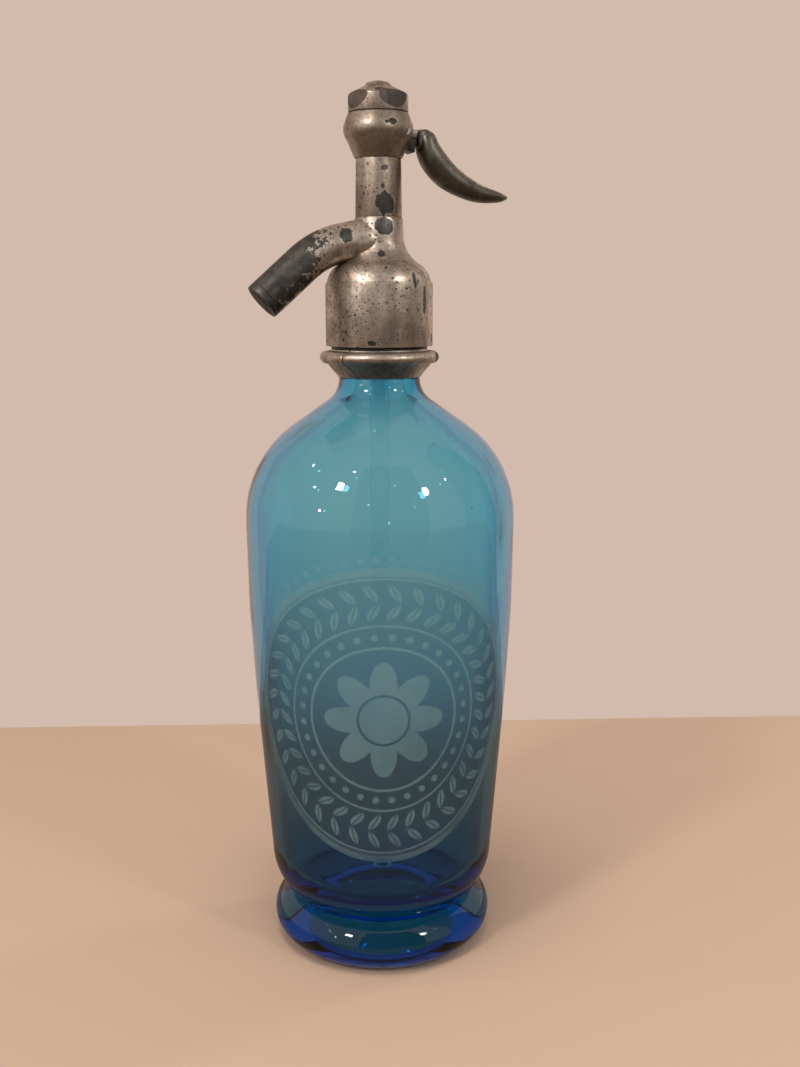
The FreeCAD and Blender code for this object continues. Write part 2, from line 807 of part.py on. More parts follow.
def make_valve_washer():
    return turned("valve_washer", [
        (0, S["seat_height"]),
        (S["valve_radius"] - 0.2, S["seat_height"]),
        (S["valve_radius"], S["seat_height"] + 0.2),
        (S["valve_radius"], S["seat_height"] + 2.0),
        (0, S["seat_height"] + 2.0),
    ])


def make_valve_cup():
    """Holder crimped round the washer, with a socket for the rod."""
    bottom, roof = S["seat_height"] + 0.7, S["seat_height"] + 2.0
    return turned("valve_cup", [
        (0, roof),
        (S["valve_radius"], roof),
        (S["valve_radius"], bottom),
        (S["cup_radius"], bottom),
        (S["cup_radius"], roof + 0.8),
        (S["rod_radius"] + 1.0, roof + 1.6),
        (S["rod_radius"] + 1.0, roof + 3.4),
        (S["rod_radius"], roof + 3.4),
        (S["rod_radius"], roof + 1.0),
        (0, roof + 1.0),
    ])


def make_piston_rod():
    """Rod from the valve to the crosshead, with a collar that carries the seal."""
    collar = S["leather_top"] - 1.6
    return turned("piston_rod", [
        (0, S["seat_height"] + 3.0),
        (S["rod_radius"], S["seat_height"] + 3.0),
        (S["rod_radius"], collar - 1.0),
        (S["rod_radius"] + 1.3, collar - 1.0),
        (S["rod_radius"] + 1.3, collar),
        (S["rod_radius"], collar),
        (S["rod_radius"], S["crosshead_bottom"] + 1.6),
        (0, S["crosshead_bottom"] + 1.6),
    ])


def make_cup_leather():
    """Leather cup that opens down towards the pressure."""
    top, outer = S["leather_top"], S["leather_radius"]
    return turned("cup_leather", [
        (S["rod_radius"], top - 0.8),
        (outer - 0.9, top - 0.8),
        (outer - 0.8, top - 4.2),
        (outer, top - 4.2),
        (outer, top - 0.5),
        (outer - 0.5, top),
        (S["rod_radius"], top),
    ])


def make_leather_washer():
    return tube("leather_washer", S["rod_radius"], S["leather_radius"] - 1.2,
                S["leather_top"] - 1.6, S["leather_top"] - 0.8)


def make_leather_nut():
    """Hexagon nut that clamps the leather down on the rod's collar."""
    body = new_body("leather_nut")
    sketch = new_sketch(body, "nut_outline", "XY_Plane")
    reach = S["nut_flats"] / math.sqrt(3.0)
    corners = []
    for count in range(6):
        turn = math.radians(60.0 * count)
        corners.append((reach * math.cos(turn), reach * math.sin(turn)))
    draw(sketch, corners)
    bind(sketch, "AttachmentOffset.Base.z", S["leather_top"])
    nut = body.newObject("PartDesign::Pad", "nut")
    nut.Profile = sketch
    nut.Length = 2.4
    revolve(body, "nut_hole", [
        (0, S["leather_top"] - 1.0),
        (S["rod_radius"], S["leather_top"] - 1.0),
        (S["rod_radius"], S["leather_top"] + 4.0),
        (0, S["leather_top"] + 4.0),
    ], "Groove")
    return body


def make_piston_head():
    """Crosshead with a blind slot for the lever's finger and a stub for the spring."""
    body = new_body("piston_head")
    stub = S["spring_radius"] - S["spring_wire"] - 0.3
    revolve(body, "crosshead_turning", [
        (0, S["crosshead_bottom"] + 1.6),
        (S["rod_radius"], S["crosshead_bottom"] + 1.6),
        (S["rod_radius"], S["crosshead_bottom"]),
        (S["crosshead_radius"] - 0.6, S["crosshead_bottom"]),
        (S["crosshead_radius"], S["crosshead_bottom"] + 0.6),
        (S["crosshead_radius"], S["crosshead_top"]),
        (stub, S["crosshead_top"]),
        (stub, S["crosshead_top"] + 1.5),
        (stub - 0.5, S["crosshead_top"] + 2.0),
        (0, S["crosshead_top"] + 2.0),
    ])
    middle = S["pivot_height"] - S["pivot_reach"] * sine(S["finger_tilt"])
    slot = new_sketch(body, "crosshead_slot_outline")
    inner, half = -S["finger_tip"] - 0.8, S["crosshead_slot"] / 2
    draw(slot, [
        (inner, middle - half),
        (S["crosshead_radius"] + 1.0, middle - half),
        (S["crosshead_radius"] + 1.0, middle + half),
        (inner, middle + half),
    ])
    extrude(body, slot, "crosshead_slot", S["slot_width"], "Pocket")
    return body


def make_piston_spring():
    """Coil spring between the crosshead and the cap, with a closed turn at each end."""
    body = new_body("piston_spring")
    wire, coil = S["spring_wire"], S["spring_radius"]
    low, high = S["crosshead_top"] + wire, S["cap_ceiling"] - wire
    revolve(body, "low_turn", wire_section(coil, low, wire))
    start = new_sketch(body, "coil_outline")
    draw(start, wire_section(coil, low, wire))
    helix = body.newObject("PartDesign::AdditiveHelix", "coils")
    helix.Profile = start
    helix.ReferenceAxis = (start, ["V_Axis"])
    helix.Mode = "height-turns-angle"
    bind(helix, "Height", high - low)
    helix.Turns = 4
    revolve(body, "high_turn", wire_section(coil, high, wire))
    return body


def wire_section(coil, height, wire):
    """The wire's section, simplified to four flat sides."""
    return [(coil - wire, height), (coil, height - wire), (coil + wire, height), (coil, height + wire)]


def build_all():
    return [
        make_bottle(),
        make_dip_tube(),
        make_tube_sleeve(),
        make_neck_gasket(),
        make_collar_half("collar_half_front", 1.0),
        make_collar_half("collar_half_rear", -1.0),
        make_collar_packing(),
        make_head_casting(),
        make_valve_seat(),
        make_spout_nozzle(),
        make_column_barrel(),
        make_barrel_washer(),
        make_lever_housing(),
        make_cap_washer(),
        make_top_cap(),
        make_lever_pin(),
        make_lever(),
        make_piston_rod(),
        make_valve_cup(),
        make_valve_washer(),
        make_cup_leather(),
        make_leather_washer(),
        make_leather_nut(),
        make_piston_head(),
        make_piston_spring(),
    ]


def check(bodies):
    """Stop where a feature failed or a sub-part isn't one sound solid."""
    failed = [item.Name for item in DOC.Objects if {"Invalid", "Error"} & set(item.State)]
    if failed:
        raise RuntimeError("failed features: " + ", ".join(failed))
    for body in bodies:
        shape = body.Shape
        if shape.isNull() or not shape.isValid() or len(shape.Solids) != 1:
            raise RuntimeError(f"{body.Label} is not one sound solid")
        print(f"{body.Label}: {shape.Volume / 1000:.3f} cm3")


def export(bodies):
    os.makedirs("parts", exist_ok=True)
    for body in bodies:
        body.Shape.exportStep(f"parts/{body.Label}.step")


BODIES = build_all()
DOC.recompute()
check(BODIES)
export(BODIES)
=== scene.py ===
import json
import math

import bmesh
import bpy
from mathutils import Matrix, Vector


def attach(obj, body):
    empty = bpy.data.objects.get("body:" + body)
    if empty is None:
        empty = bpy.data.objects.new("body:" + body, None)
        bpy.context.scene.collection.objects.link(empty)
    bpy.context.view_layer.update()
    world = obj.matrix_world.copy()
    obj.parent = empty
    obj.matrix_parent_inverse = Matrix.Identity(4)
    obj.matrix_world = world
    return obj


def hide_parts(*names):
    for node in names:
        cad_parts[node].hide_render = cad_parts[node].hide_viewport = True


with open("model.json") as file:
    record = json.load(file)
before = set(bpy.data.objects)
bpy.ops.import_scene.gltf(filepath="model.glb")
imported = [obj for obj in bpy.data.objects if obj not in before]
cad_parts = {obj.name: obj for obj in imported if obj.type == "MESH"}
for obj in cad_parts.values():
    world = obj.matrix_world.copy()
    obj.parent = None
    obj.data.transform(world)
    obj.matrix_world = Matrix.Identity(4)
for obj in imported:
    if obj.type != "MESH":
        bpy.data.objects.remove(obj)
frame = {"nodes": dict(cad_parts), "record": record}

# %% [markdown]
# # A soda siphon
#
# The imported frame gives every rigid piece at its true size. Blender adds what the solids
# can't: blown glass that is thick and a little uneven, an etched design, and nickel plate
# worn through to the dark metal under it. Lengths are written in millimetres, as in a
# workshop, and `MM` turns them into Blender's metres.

MM = 0.001
FULL_TURN = 2 * math.pi
UP = Vector((0, 0, 1))
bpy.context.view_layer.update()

# %% [markdown]
# ## The camera
#
# The picture was taken a little above the glass, looking slightly down at it, with the
# spout turned a bit towards the lens. So the camera is placed by its distance, its height
# and its turn about the bottle, and then tilted down and rolled by a tenth of a degree.

# %% Camera
CAMERA_TURN = math.radians(20.0)
CAMERA_DISTANCE = 440 * MM
CAMERA_SIDE = 7.2 * MM
CAMERA_HEIGHT = 239.5 * MM
CAMERA_PITCH = math.radians(11.1)
CAMERA_ROLL = math.radians(-0.1)
LENS = 41.5

to_right = Vector((math.cos(CAMERA_TURN), -math.sin(CAMERA_TURN), 0))
to_back = Vector((math.sin(CAMERA_TURN), math.cos(CAMERA_TURN), 0))
camera = bpy.data.objects.new("camera", bpy.data.cameras.new("camera"))
camera.data.lens = LENS
camera.data.sensor_width = 36.0
camera.data.clip_start = 10 * MM
camera.location = CAMERA_SIDE * to_right - CAMERA_DISTANCE * to_back + CAMERA_HEIGHT * UP
level = Matrix.Rotation(-CAMERA_TURN, 4, "Z")
tilt = Matrix.Rotation(math.pi / 2 - CAMERA_PITCH, 4, "X")
camera.rotation_euler = (level @ tilt @ Matrix.Rotation(CAMERA_ROLL, 4, "Z")).to_euler()
bpy.context.scene.collection.objects.link(camera)
bpy.context.scene.camera = camera
print("camera at", [round(value, 4) for value in camera.location])

# %% [markdown]
# ## Node helpers
#
# Every finish below is made of shader nodes. A small class keeps those recipes short: one
# call adds a node, fills in its inputs and hands back what the next node needs.

# %% Colours and materials


def colour(red, green, blue):
    """A solid colour in scene-linear values."""
    return (red, green, blue, 1.0)


def new_material(name):
    """An empty node material with its Principled shader and its output."""
    material = bpy.data.materials.new(name)
    material.use_nodes = True
    nodes = material.node_tree.nodes
    nodes.clear()
    shader = nodes.new("ShaderNodeBsdfPrincipled")
    output = nodes.new("ShaderNodeOutputMaterial")
    material.node_tree.links.new(shader.outputs["BSDF"], output.inputs["Surface"])
    return material, shader, output


# %% Short calls for nodes


class Graph:
    """Adds nodes to a tree and joins them up."""

    def __init__(self, tree):
        self.tree = tree

    def put(self, socket, value):
        """Join a socket to another one, or set it to a plain value."""
        if isinstance(value, bpy.types.NodeSocket):
            self.tree.links.new(value, socket)
        elif value is not None:
            socket.default_value = value

    def node(self, kind, settings=None, **inputs):
        """Add a node with its settings, and its inputs by name."""
        node = self.tree.nodes.new("ShaderNode" + kind)
        for name, value in (settings or {}).items():
            setattr(node, name, value)
        for name, value in inputs.items():
            self.put(node.inputs[name.replace("_", " ")], value)
        return node

    def math(self, operation, *values):
        node = self.node("Math", {"operation": operation})
        for socket, value in zip(node.inputs, values):
            self.put(socket, value)
        return node.outputs[0]

    def times(self, first, second):
        return self.math("MULTIPLY", first, second)

    def plus(self, first, second):
        return self.math("ADD", first, second)

    def minus(self, first, second):
        return self.math("SUBTRACT", first, second)

    def length(self, across, up):
        """How far a point lies from the middle of a flat drawing."""
        return self.math("SQRT", self.plus(self.times(across, across), self.times(up, up)))

    def place(self):
        """The point on the piece, in metres."""
        return self.node("TexCoord").outputs["Object"]

    def height(self, place):
        return self.node("SeparateXYZ", Vector=place).outputs["Z"]

    def vector(self, operation, *values):
        node = self.node("VectorMath", {"operation": operation})
        for socket, value in zip(node.inputs, values):
            self.put(socket, value)
        gives_number = operation in ("LENGTH", "DISTANCE", "DOT_PRODUCT")
        return node.outputs["Value" if gives_number else "Vector"]

    def ramp(self, value, low, high, bottom=0.0, top=1.0):
        """Turn the stretch from low to high into bottom to top, smoothly."""
        node = self.node("MapRange", {"interpolation_type": "SMOOTHSTEP"})
        for socket, number in zip(node.inputs, (value, low, high, bottom, top)):
            self.put(socket, number)
        return node.outputs[0]

    def noise(self, place, scale, detail=4.0, rough=0.55):
        node = self.node("TexNoise", Vector=place, Scale=scale, Detail=detail, Roughness=rough)
        return node.outputs[0]

    def mix(self, share, first, second):
        """Blend two colours."""
        node = self.node("Mix", {"data_type": "RGBA"})
        for index, value in ((0, share), (6, first), (7, second)):
            self.put(node.inputs[index], value)
        return node.outputs[2]

    def largest(self, values):
        """The largest of several values."""
        result = values[0]
        for value in values[1:]:
            result = self.math("MAXIMUM", result, value)
        return result


# %% Group helper


def new_group(name, inputs, outputs):
    """A shader node group with named sockets."""
    tree = bpy.data.node_groups.new(name, "ShaderNodeTree")
    for label, kind, value in inputs:
        socket = tree.interface.new_socket(label, in_out="INPUT", socket_type="NodeSocket" + kind)
        socket.default_value = value
    for label, kind in outputs:
        tree.interface.new_socket(label, in_out="OUTPUT", socket_type="NodeSocket" + kind)
    source = tree.nodes.new("NodeGroupInput")
    sink = tree.nodes.new("NodeGroupOutput")
    return tree, Graph(tree), source.outputs, sink.inputs


print("node helpers ready")

# %% [markdown]
# ## The room
#
# Glass and metal show what is round them, so the room matters as much as the lamps. A plain
# pale floor ends at a plain pale wall a little behind the bottle. The wall is seen by the
# camera, in the metal and through the glass, but it lets other light pass, and from behind
# it isn't there at all, so every other view has free sight. `Light Path` tells the rays apart.

# %% Floor and wall
FLOOR_COLOUR = colour(0.44, 0.315, 0.235)
FLOOR_SEEN = colour(0.23, 0.155, 0.105)
FLOOR_ROUGHNESS = 0.8
WALL_COLOUR = colour(0.645, 0.497, 0.413)
ROOM_HALF = 3.0
WALL_BEHIND = 0.225
WALL_TURN = math.radians(2.2)


def mesh_object(bm, name):
    """A new object in the scene from a bmesh."""
    mesh = bpy.data.meshes.new(name)
    bm.to_mesh(mesh)
    bm.free()
    piece = bpy.data.objects.new(name, mesh)
    bpy.context.scene.collection.objects.link(piece)
    return piece


def flat_face(name, corners):
    """One flat face through its corners, as stage."""
    bm = bmesh.new()
    bm.faces.new([bm.verts.new(corner) for corner in corners])
    piece = mesh_object(bm, name)
    return piece


def rays(graph, *kinds):
    """1 for light rays of any of these kinds."""
    path = graph.node("LightPath")
    return graph.largest([path.outputs[f"Is {kind} Ray"] for kind in kinds])


def blend(graph, output, share, *shaders):
    """Show a share of the second shader in place of the first."""
    join = graph.node("MixShader")
    for socket, value in zip(join.inputs, (share, *shaders)):
        graph.put(socket, value)
    graph.put(output.inputs["Surface"], join.outputs[0])


def floor_material():
    """Matt paint that takes the shadow, seen at an even level by glass and metal."""
    material, shader, output = new_material("floor_paint")
    graph = Graph(material.node_tree)
    graph.put(shader.inputs["Base Color"], FLOOR_COLOUR)
    graph.put(shader.inputs["Roughness"], FLOOR_ROUGHNESS)
    glow = graph.node("Emission", Color=FLOOR_SEEN)
    seen = rays(graph, "Glossy", "Transmission")
    blend(graph, output, seen, shader.outputs["BSDF"], glow.outputs[0])
    return material


def wall_material():
    """An even pale colour from the front, and nothing at all for other rays."""
    material, shader, output = new_material("wall_paint")
    graph = Graph(material.node_tree)
    material.node_tree.nodes.remove(shader)
    glow = graph.node("Emission", Color=WALL_COLOUR)
    clear = graph.node("BsdfTransparent")
    seen = rays(graph, "Glossy", "Transmission", "Camera")
    front = graph.minus(1.0, graph.node("NewGeometry").outputs["Backfacing"])
    blend(graph, output, graph.times(seen, front), clear.outputs[0], glow.outputs[0])
    return material


floor = flat_face("floor", [(-ROOM_HALF, -ROOM_HALF, 0), (ROOM_HALF, -ROOM_HALF, 0),
                            (ROOM_HALF, ROOM_HALF, 0), (-ROOM_HALF, ROOM_HALF, 0)])
floor.data.materials.append(floor_material())
along_wall = Matrix.Rotation(WALL_TURN, 3, "Z") @ to_right * ROOM_HALF
wall_right, wall_left = (to_back * WALL_BEHIND + side * along_wall for side in (1, -1))
wall_top = ROOM_HALF * UP
wall = flat_face("wall", [wall_right, wall_left, wall_left + wall_top, wall_right + wall_top])
wall.data.flip_normals()
wall.data.materials.append(wall_material())
print("wall faces the camera:", wall.data.polygons[0].normal.dot(to_back) < 0)

# %% [markdown]
# ## Lamps
#
# Two small soft boxes stand in front, a tall one behind on the right and a broad one above,
# with nine spots about them. Their size sets the size of the bright points in the glass, so
# the broad one is hidden from glass and metal. The world is a plain pale colour. Dark cards
# give the metal something dark to reflect, which is what makes it look like metal: a round
# column mirrors them as upright bands.

# %% World, lamps and dark cards
WORLD_COLOUR = colour(0.62, 0.54, 0.48)
WORLD_STRENGTH = 0.9
LAMP_COLOUR = (1.0, 0.95, 0.89)
SPOT_SIZE, SPOT_POWER = 0.03, 0.4
LAMP_AIM = Vector((0, 0, 180 * MM))


def around(turn, distance, height):
    """A place at a turn about the bottle, counted from the camera, in degrees and metres."""
    angle = math.radians(turn)
    return distance * (math.sin(angle) * to_right - math.cos(angle) * to_back) + height * UP


def area_lamp(name, place, width, tall, power, seen=True):
    """A soft box that looks at the bottle, seen or unseen in its metal and glass."""
    lamp = bpy.data.lights.new(name, "AREA")
    lamp.shape = "RECTANGLE"
    lamp.size, lamp.size_y = width, tall
    lamp.energy = power
    lamp.color = LAMP_COLOUR
    holder = bpy.data.objects.new(name, lamp)
    holder.location = place
    holder.rotation_euler = (LAMP_AIM - holder.location).to_track_quat("-Z", "Y").to_euler()
    holder.visible_glossy = holder.visible_transmission = seen
    bpy.context.scene.collection.objects.link(holder)


def dark_card(name, first, last, tone):
    """An upright panel between two turns about the bottle that only mirrors see."""
    low, high, reach = -0.1, 1.5, 0.8
    card = flat_face(name, [around(first, reach, low), around(last, reach, low),
                            around(last, reach, high), around(first, reach, high)])
    material, shader, _ = new_material(name)
    shader.inputs["Base Color"].default_value = colour(tone, tone * 0.9, tone * 0.8)
    card.data.materials.append(material)
    card.visible_camera = False
    card.visible_diffuse = False
    card.visible_shadow = False
    card.visible_transmission = False


world = bpy.data.worlds.new("room")
world.use_nodes = True
world.node_tree.nodes["Background"].inputs["Color"].default_value = WORLD_COLOUR
world.node_tree.nodes["Background"].inputs["Strength"].default_value = WORLD_STRENGTH
bpy.context.scene.world = world
bpy.context.scene.view_settings.view_transform = "Standard"
area_lamp("key", around(-38, 1.0, 0.95), 0.14, 0.14, 5.5)
area_lamp("fill", around(46, 1.0, 0.8), 0.1, 0.16, 2.5)
area_lamp("top", around(-20, 0.3, 1.3), 0.5, 0.5, 8.0, seen=False)
area_lamp("rim", around(120, 1.1, 0.6), 0.2, 0.6, 3.0)
SPOTS = [(-64, 0.9, 0.7), (-30, 0.75, 1.15), (-12, 1.0, 0.62), (-50, 1.0, 0.4), (17, 0.8, 1.0),
         (34, 1.0, 0.55), (70, 0.9, 0.85), (-85, 0.8, 0.95), (8, 1.1, 0.3)]
for count, (turn, distance, height) in enumerate(SPOTS):
    area_lamp(f"spot_{count}", around(turn, distance, height), SPOT_SIZE, SPOT_SIZE, SPOT_POWER)
dark_card("card_front", -22, 42, 0.02)
dark_card("card_right", 75, 128, 0.12)
print(len(bpy.data.lights), "lamps")

# %% [markdown]
# ## Turned pieces
#
# Almost everything on a siphon was blown in a mould or turned on a lathe. Blender's `spin`
# does the same: an outline in the XZ plane goes round the Z axis. An outline is a list of
# corners (radius, height). A third number makes the stretch that arrives there an arc of
# that radius, positive where it turns left. `bevel` then takes the sharpness off the edges,
# because real metal never has a perfectly sharp edge, and a soft one catches the light.

# %% Outline to points
ARC_STEP = math.radians(7.0)


def arc_points(start, end, bend):
    """Points between two ends of an arc, in the XZ plane."""
    along = end - start
    aside = math.sqrt(max(bend ** 2 - (along.length / 2) ** 2, 0.0))
    left = Vector((-along.z, 0, along.x)).normalized()
    centre = (start + end) / 2 + left * math.copysign(aside, bend)
    sweep = 2 * math.asin(min(along.length / 2 / abs(bend), 1.0))
    steps = max(2, math.ceil(sweep / ARC_STEP))
    turns = [-math.copysign(sweep * count / steps, bend) for count in range(1, steps)]
    return [centre + Matrix.Rotation(turn, 3, "Y") @ (start - centre) for turn in turns]


def trace(outline):
    """The outline's points in metres, with its arcs split into short steps."""
    points = [Vector((outline[0][0], 0, outline[0][1]))]
    for corner in outline[1:]:
        end = Vector((corner[0], 0, corner[1]))
        if len(corner) == 3:
            points += arc_points(points[-1], end, corner[2])
        points.append(end)
    return [point * MM for point in points]


# %% Lathe, edges and finishing
AROUND = 128
MERGE = 0.002 * MM


def lathe(bm, outline, angle=FULL_TURN, steps=AROUND):
    """Spin a closed outline round the Z axis, and close the seam and the poles."""
    rim = [bm.verts.new(point) for point in trace(outline)]
    edges = [bm.edges.new(pair) for pair in zip(rim, rim[1:] + rim[:1])]
    whole = angle == FULL_TURN
    if not whole:
        bm.faces.new(rim)
    bmesh.ops.spin(bm, geom=rim + edges + list(bm.faces), cent=(0, 0, 0), axis=UP, dvec=(0, 0, 0),
                   angle=angle, steps=steps, use_merge=whole)
    bmesh.ops.remove_doubles(bm, verts=bm.verts, dist=MERGE)


def bevel(bm, edges, width, segments=3):
    """Round some edges off by a width in millimetres."""
    bmesh.ops.bevel(bm, geom=edges, offset=width * MM, offset_type="OFFSET", segments=segments,
                    profile=0.5, affect="EDGES", clamp_overlap=True, material=-1)


def round_edges(bm, width, angle=28.0):
    """Bevel every edge that is sharper than the angle."""
    limit = math.radians(angle)
    bevel(bm, [edge for edge in bm.edges
               if len(edge.link_faces) == 2 and edge.calc_face_angle() > limit], width)


def finished(bm, name, body, material, slot, *nodes, sharp=40.0):
    """Turn a bmesh into a smooth-shaded piece that stands for its CAD nodes."""
    bmesh.ops.recalc_face_normals(bm, faces=bm.faces)
    piece = mesh_object(bm, name)
    mesh = piece.data
    mesh.polygons.foreach_set("use_smooth", [True] * len(mesh.polygons))
    mesh.set_sharp_from_angle(angle=math.radians(sharp))
    mesh.materials.append(material)
    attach(piece, body)
    if nodes:
        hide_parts(*nodes)
    print(name, len(mesh.polygons), "faces")
    return piece


def turned(name, outline, body, material, slot, *nodes, edge=0.15):
    """Make a piece that is one turned outline with softened edges."""
    bm = bmesh.new()
    lathe(bm, outline)
    round_edges(bm, edge)
    finished(bm, name, body, material, slot, *nodes)


# %% [markdown]
# ## The etched design
#
# Siphons carried a large design etched into the glass. Here it is a wreath of leaves about a
# rosette, in a plain double ring. It is drawn with maths: `u` and `v` are the millimetres to
# the right of and above its middle on the glass, and from them come a distance and a turn.
# Repeats come from cutting the turn into equal cells. A group gives the lines of the design
# and the area they stand in, and both the glass and the skin on it use that group.

# %% Etched pattern group
DESIGN_HEIGHT = 98 * MM
DESIGN_TURN = math.radians(2.0)
GLASS_RADIUS = 46.5
LEAF_LONG, LEAF_WIDE = 3.4, 1.9
SOFT_EDGE = 0.25


def on_the_glass(graph, place):
    """Millimetres to the right and up from the design's middle, along the glass."""
    facing = Matrix.Rotation(DESIGN_TURN, 3, "Z")
    ahead = graph.vector("DOT_PRODUCT", place, tuple(facing @ -to_back))
    aside = graph.vector("DOT_PRODUCT", place, tuple(facing @ to_right))
    turn = graph.math("ARCTAN2", aside, ahead)
    across = graph.times(turn, GLASS_RADIUS)
    height = graph.height(place)
    up = graph.math("DIVIDE", graph.minus(height, DESIGN_HEIGHT), MM)
    return across, up


def near(graph, value, middle, half):
    """1 where a value is within half of the middle."""
    off = graph.math("ABSOLUTE", graph.minus(value, middle))
    return graph.ramp(off, half, half + SOFT_EDGE, 1.0, 0.0)


def cell_of(graph, turn, count):
    """Where a turn lies in its cell, from -0.5 to 0.5, with so many cells all round."""
    share = graph.times(turn, count / FULL_TURN)
    return graph.minus(graph.math("FRACT", share), 0.5)


def leaf(graph, turn, away, middle, count, lean):
    """A ring of leaves that lean to one side."""
    side = graph.times(cell_of(graph, turn, count), FULL_TURN * middle / count)
    out = graph.minus(away, middle)
    side = graph.minus(side, graph.times(out, lean))
    bulge = graph.math("POWER", graph.math("DIVIDE", out, LEAF_LONG), 2.0)
    room = graph.times(graph.minus(1.0, bulge), LEAF_WIDE)
    inside = graph.minus(room, graph.math("ABSOLUTE", side))
    vein = graph.ramp(graph.math("ABSOLUTE", side), 0.12, 0.3)
    return graph.times(graph.ramp(inside, 0.0, SOFT_EDGE), vein)


def beads(graph, turn, away, middle, count, radius):
    """A ring of round dots."""
    side = graph.times(cell_of(graph, turn, count), FULL_TURN * middle / count)
    distance = graph.length(side, graph.minus(away, middle))
    return graph.ramp(distance, radius, radius + SOFT_EDGE, 1.0, 0.0)


def rosette(graph, turn, away, count, radius):
    """A flower of round petals with a ring and an eye."""
    wave = graph.math("ABSOLUTE", graph.math("COSINE", graph.times(turn, count / 2)))
    edge = graph.times(graph.plus(graph.times(wave, 0.42), 0.58), radius)
    petal = graph.ramp(graph.minus(edge, away), 0.0, 0.3)
    line = graph.minus(1.0, near(graph, away, radius * 0.42, 0.35))
    return graph.times(petal, line)


def build_etching():
    """The lines of the design, and the frosted area they stand in."""
    tree, graph, given, result = new_group(
        "etched_design", [("Place", "Vector", (0, 0, 0))], [("Lines", "Float"), ("Area", "Float")])
    across, up = on_the_glass(graph, given["Place"])
    away = graph.length(across, up)
    turn = graph.math("ARCTAN2", up, across)
    rings = [near(graph, away, middle, half)
             for middle, half in ((52.0, 0.9), (49.4, 0.25), (33.4, 0.3), (25.8, 0.4))]
    wreath = [leaf(graph, turn, away, middle, 36, lean)
              for middle, lean in ((44.6, 0.55), (38.0, -0.55))]
    crown = graph.times(graph.ramp(up, 41.0, 43.0), beads(graph, turn, away, 56.0, 72, 0.9))
    shapes = [*rings, *wreath, beads(graph, turn, away, 29.5, 32, 1.1),
              rosette(graph, turn, away, 8, 21.0), crown]
    graph.put(result["Lines"], graph.largest(shapes))
    graph.put(result["Area"], graph.ramp(away, 49.0, 53.0, 1.0, 0.0))
    return tree


ETCHING = build_etching()

# %% [markdown]
# ## Blue glass
#
# The bottle is one closed wall of glass, so light bends at both of its faces. The blue comes
# from `Volume Absorption`: the longer the way through the glass, the deeper the blue, which
# is why the edges and the foot look almost navy. A slow noise in the bump makes the blown
# skin uneven, and tiny round bumps stand for the seeds, the little bubbles in old glass.

# %% Glass material
GLASS_DEPTH = colour(0.30, 0.83, 0.96)
GLASS_DENSITY = 240.0
FOOT_TINT = colour(0.30, 0.45, 0.62)
SHOULDER_TINT = colour(0.97, 1.0, 1.0)
NECK_TINT = colour(0.76, 0.86, 0.90)
EDGE_TINT = colour(0.26, 0.27, 0.62)
ETCHED_ROUGHNESS = 0.27
SPECK = colour(0.3, 0.42, 0.5)


def glass_bump(graph, place, wave, seed):
    """A normal with slow ripples and small round seeds."""
    tall = graph.vector("MULTIPLY", place, (1.0, 1.0, 0.4))
    ripple = graph.noise(tall, 34.0, 2.0, 0.45)
    relief = graph.node("Bump", Height=ripple, Strength=1.0, Distance=wave * MM)
    fine = graph.node("Bump", Height=seed, Strength=0.6, Distance=0.2 * MM,
                      Normal=relief.outputs[0])
    return fine.outputs[0]


def glass_material(name, depth, density, wave, low_tint, high_tint, edge_tint, ior=1.5):
    """Glass tinted by its thickness, denser towards the foot and where it is seen edge-on."""
    material, shader, output = new_material(name)
    graph = Graph(material.node_tree)
    place = graph.place()
    height = graph.height(place)
    cells = graph.node("TexVoronoi", {"feature": "F1"}, Vector=place, Scale=120.0)
    seed = graph.ramp(cells.outputs["Distance"], 0.02, 0.06, 1.0, 0.0)
    tint = graph.mix(graph.ramp(height, 0.0, 190 * MM), low_tint, high_tint)
    tint = graph.mix(graph.ramp(height, 194 * MM, 208 * MM), tint, NECK_TINT)
    tint = graph.mix(graph.times(seed, 0.7), tint, SPECK)
    facing = graph.node("LayerWeight", Blend=0.5).outputs["Facing"]
    edge_on = graph.ramp(facing, 0.45, 0.95)
    graph.put(shader.inputs["Base Color"], graph.mix(edge_on, tint, edge_tint))
    design = graph.node("Group", {"node_tree": ETCHING}, Place=place)
    graph.put(shader.inputs["Roughness"], graph.times(design.outputs["Area"], ETCHED_ROUGHNESS))
    shader.inputs["IOR"].default_value = ior
    shader.inputs["Transmission Weight"].default_value = 1.0
    graph.put(shader.inputs["Normal"], glass_bump(graph, place, wave, seed))
    volume = graph.node("VolumeAbsorption", Color=depth, Density=density)
    graph.put(output.inputs["Volume"], volume.outputs[0])
    return material


CLEAR = colour(0.97, 0.99, 1.0)
blue_glass = glass_material("blue_glass", GLASS_DEPTH, GLASS_DENSITY, 1.1,
                            FOOT_TINT, SHOULDER_TINT, EDGE_TINT)
tube_glass = glass_material("tube_glass", colour(0.6, 0.9, 0.95), 20.0, 0.05,
                            CLEAR, CLEAR, CLEAR, ior=1.12)
print("glass ready")

# %% [markdown]
# ## The bottle and its tube
#
# The outline runs up the outside and back down the inside. It starts under the pushed-up
# base, passes the foot ring and the waist, and ends on the inner floor. The outer skin is
# kept a hair inside the frame's, so that the etching has room on top of it.

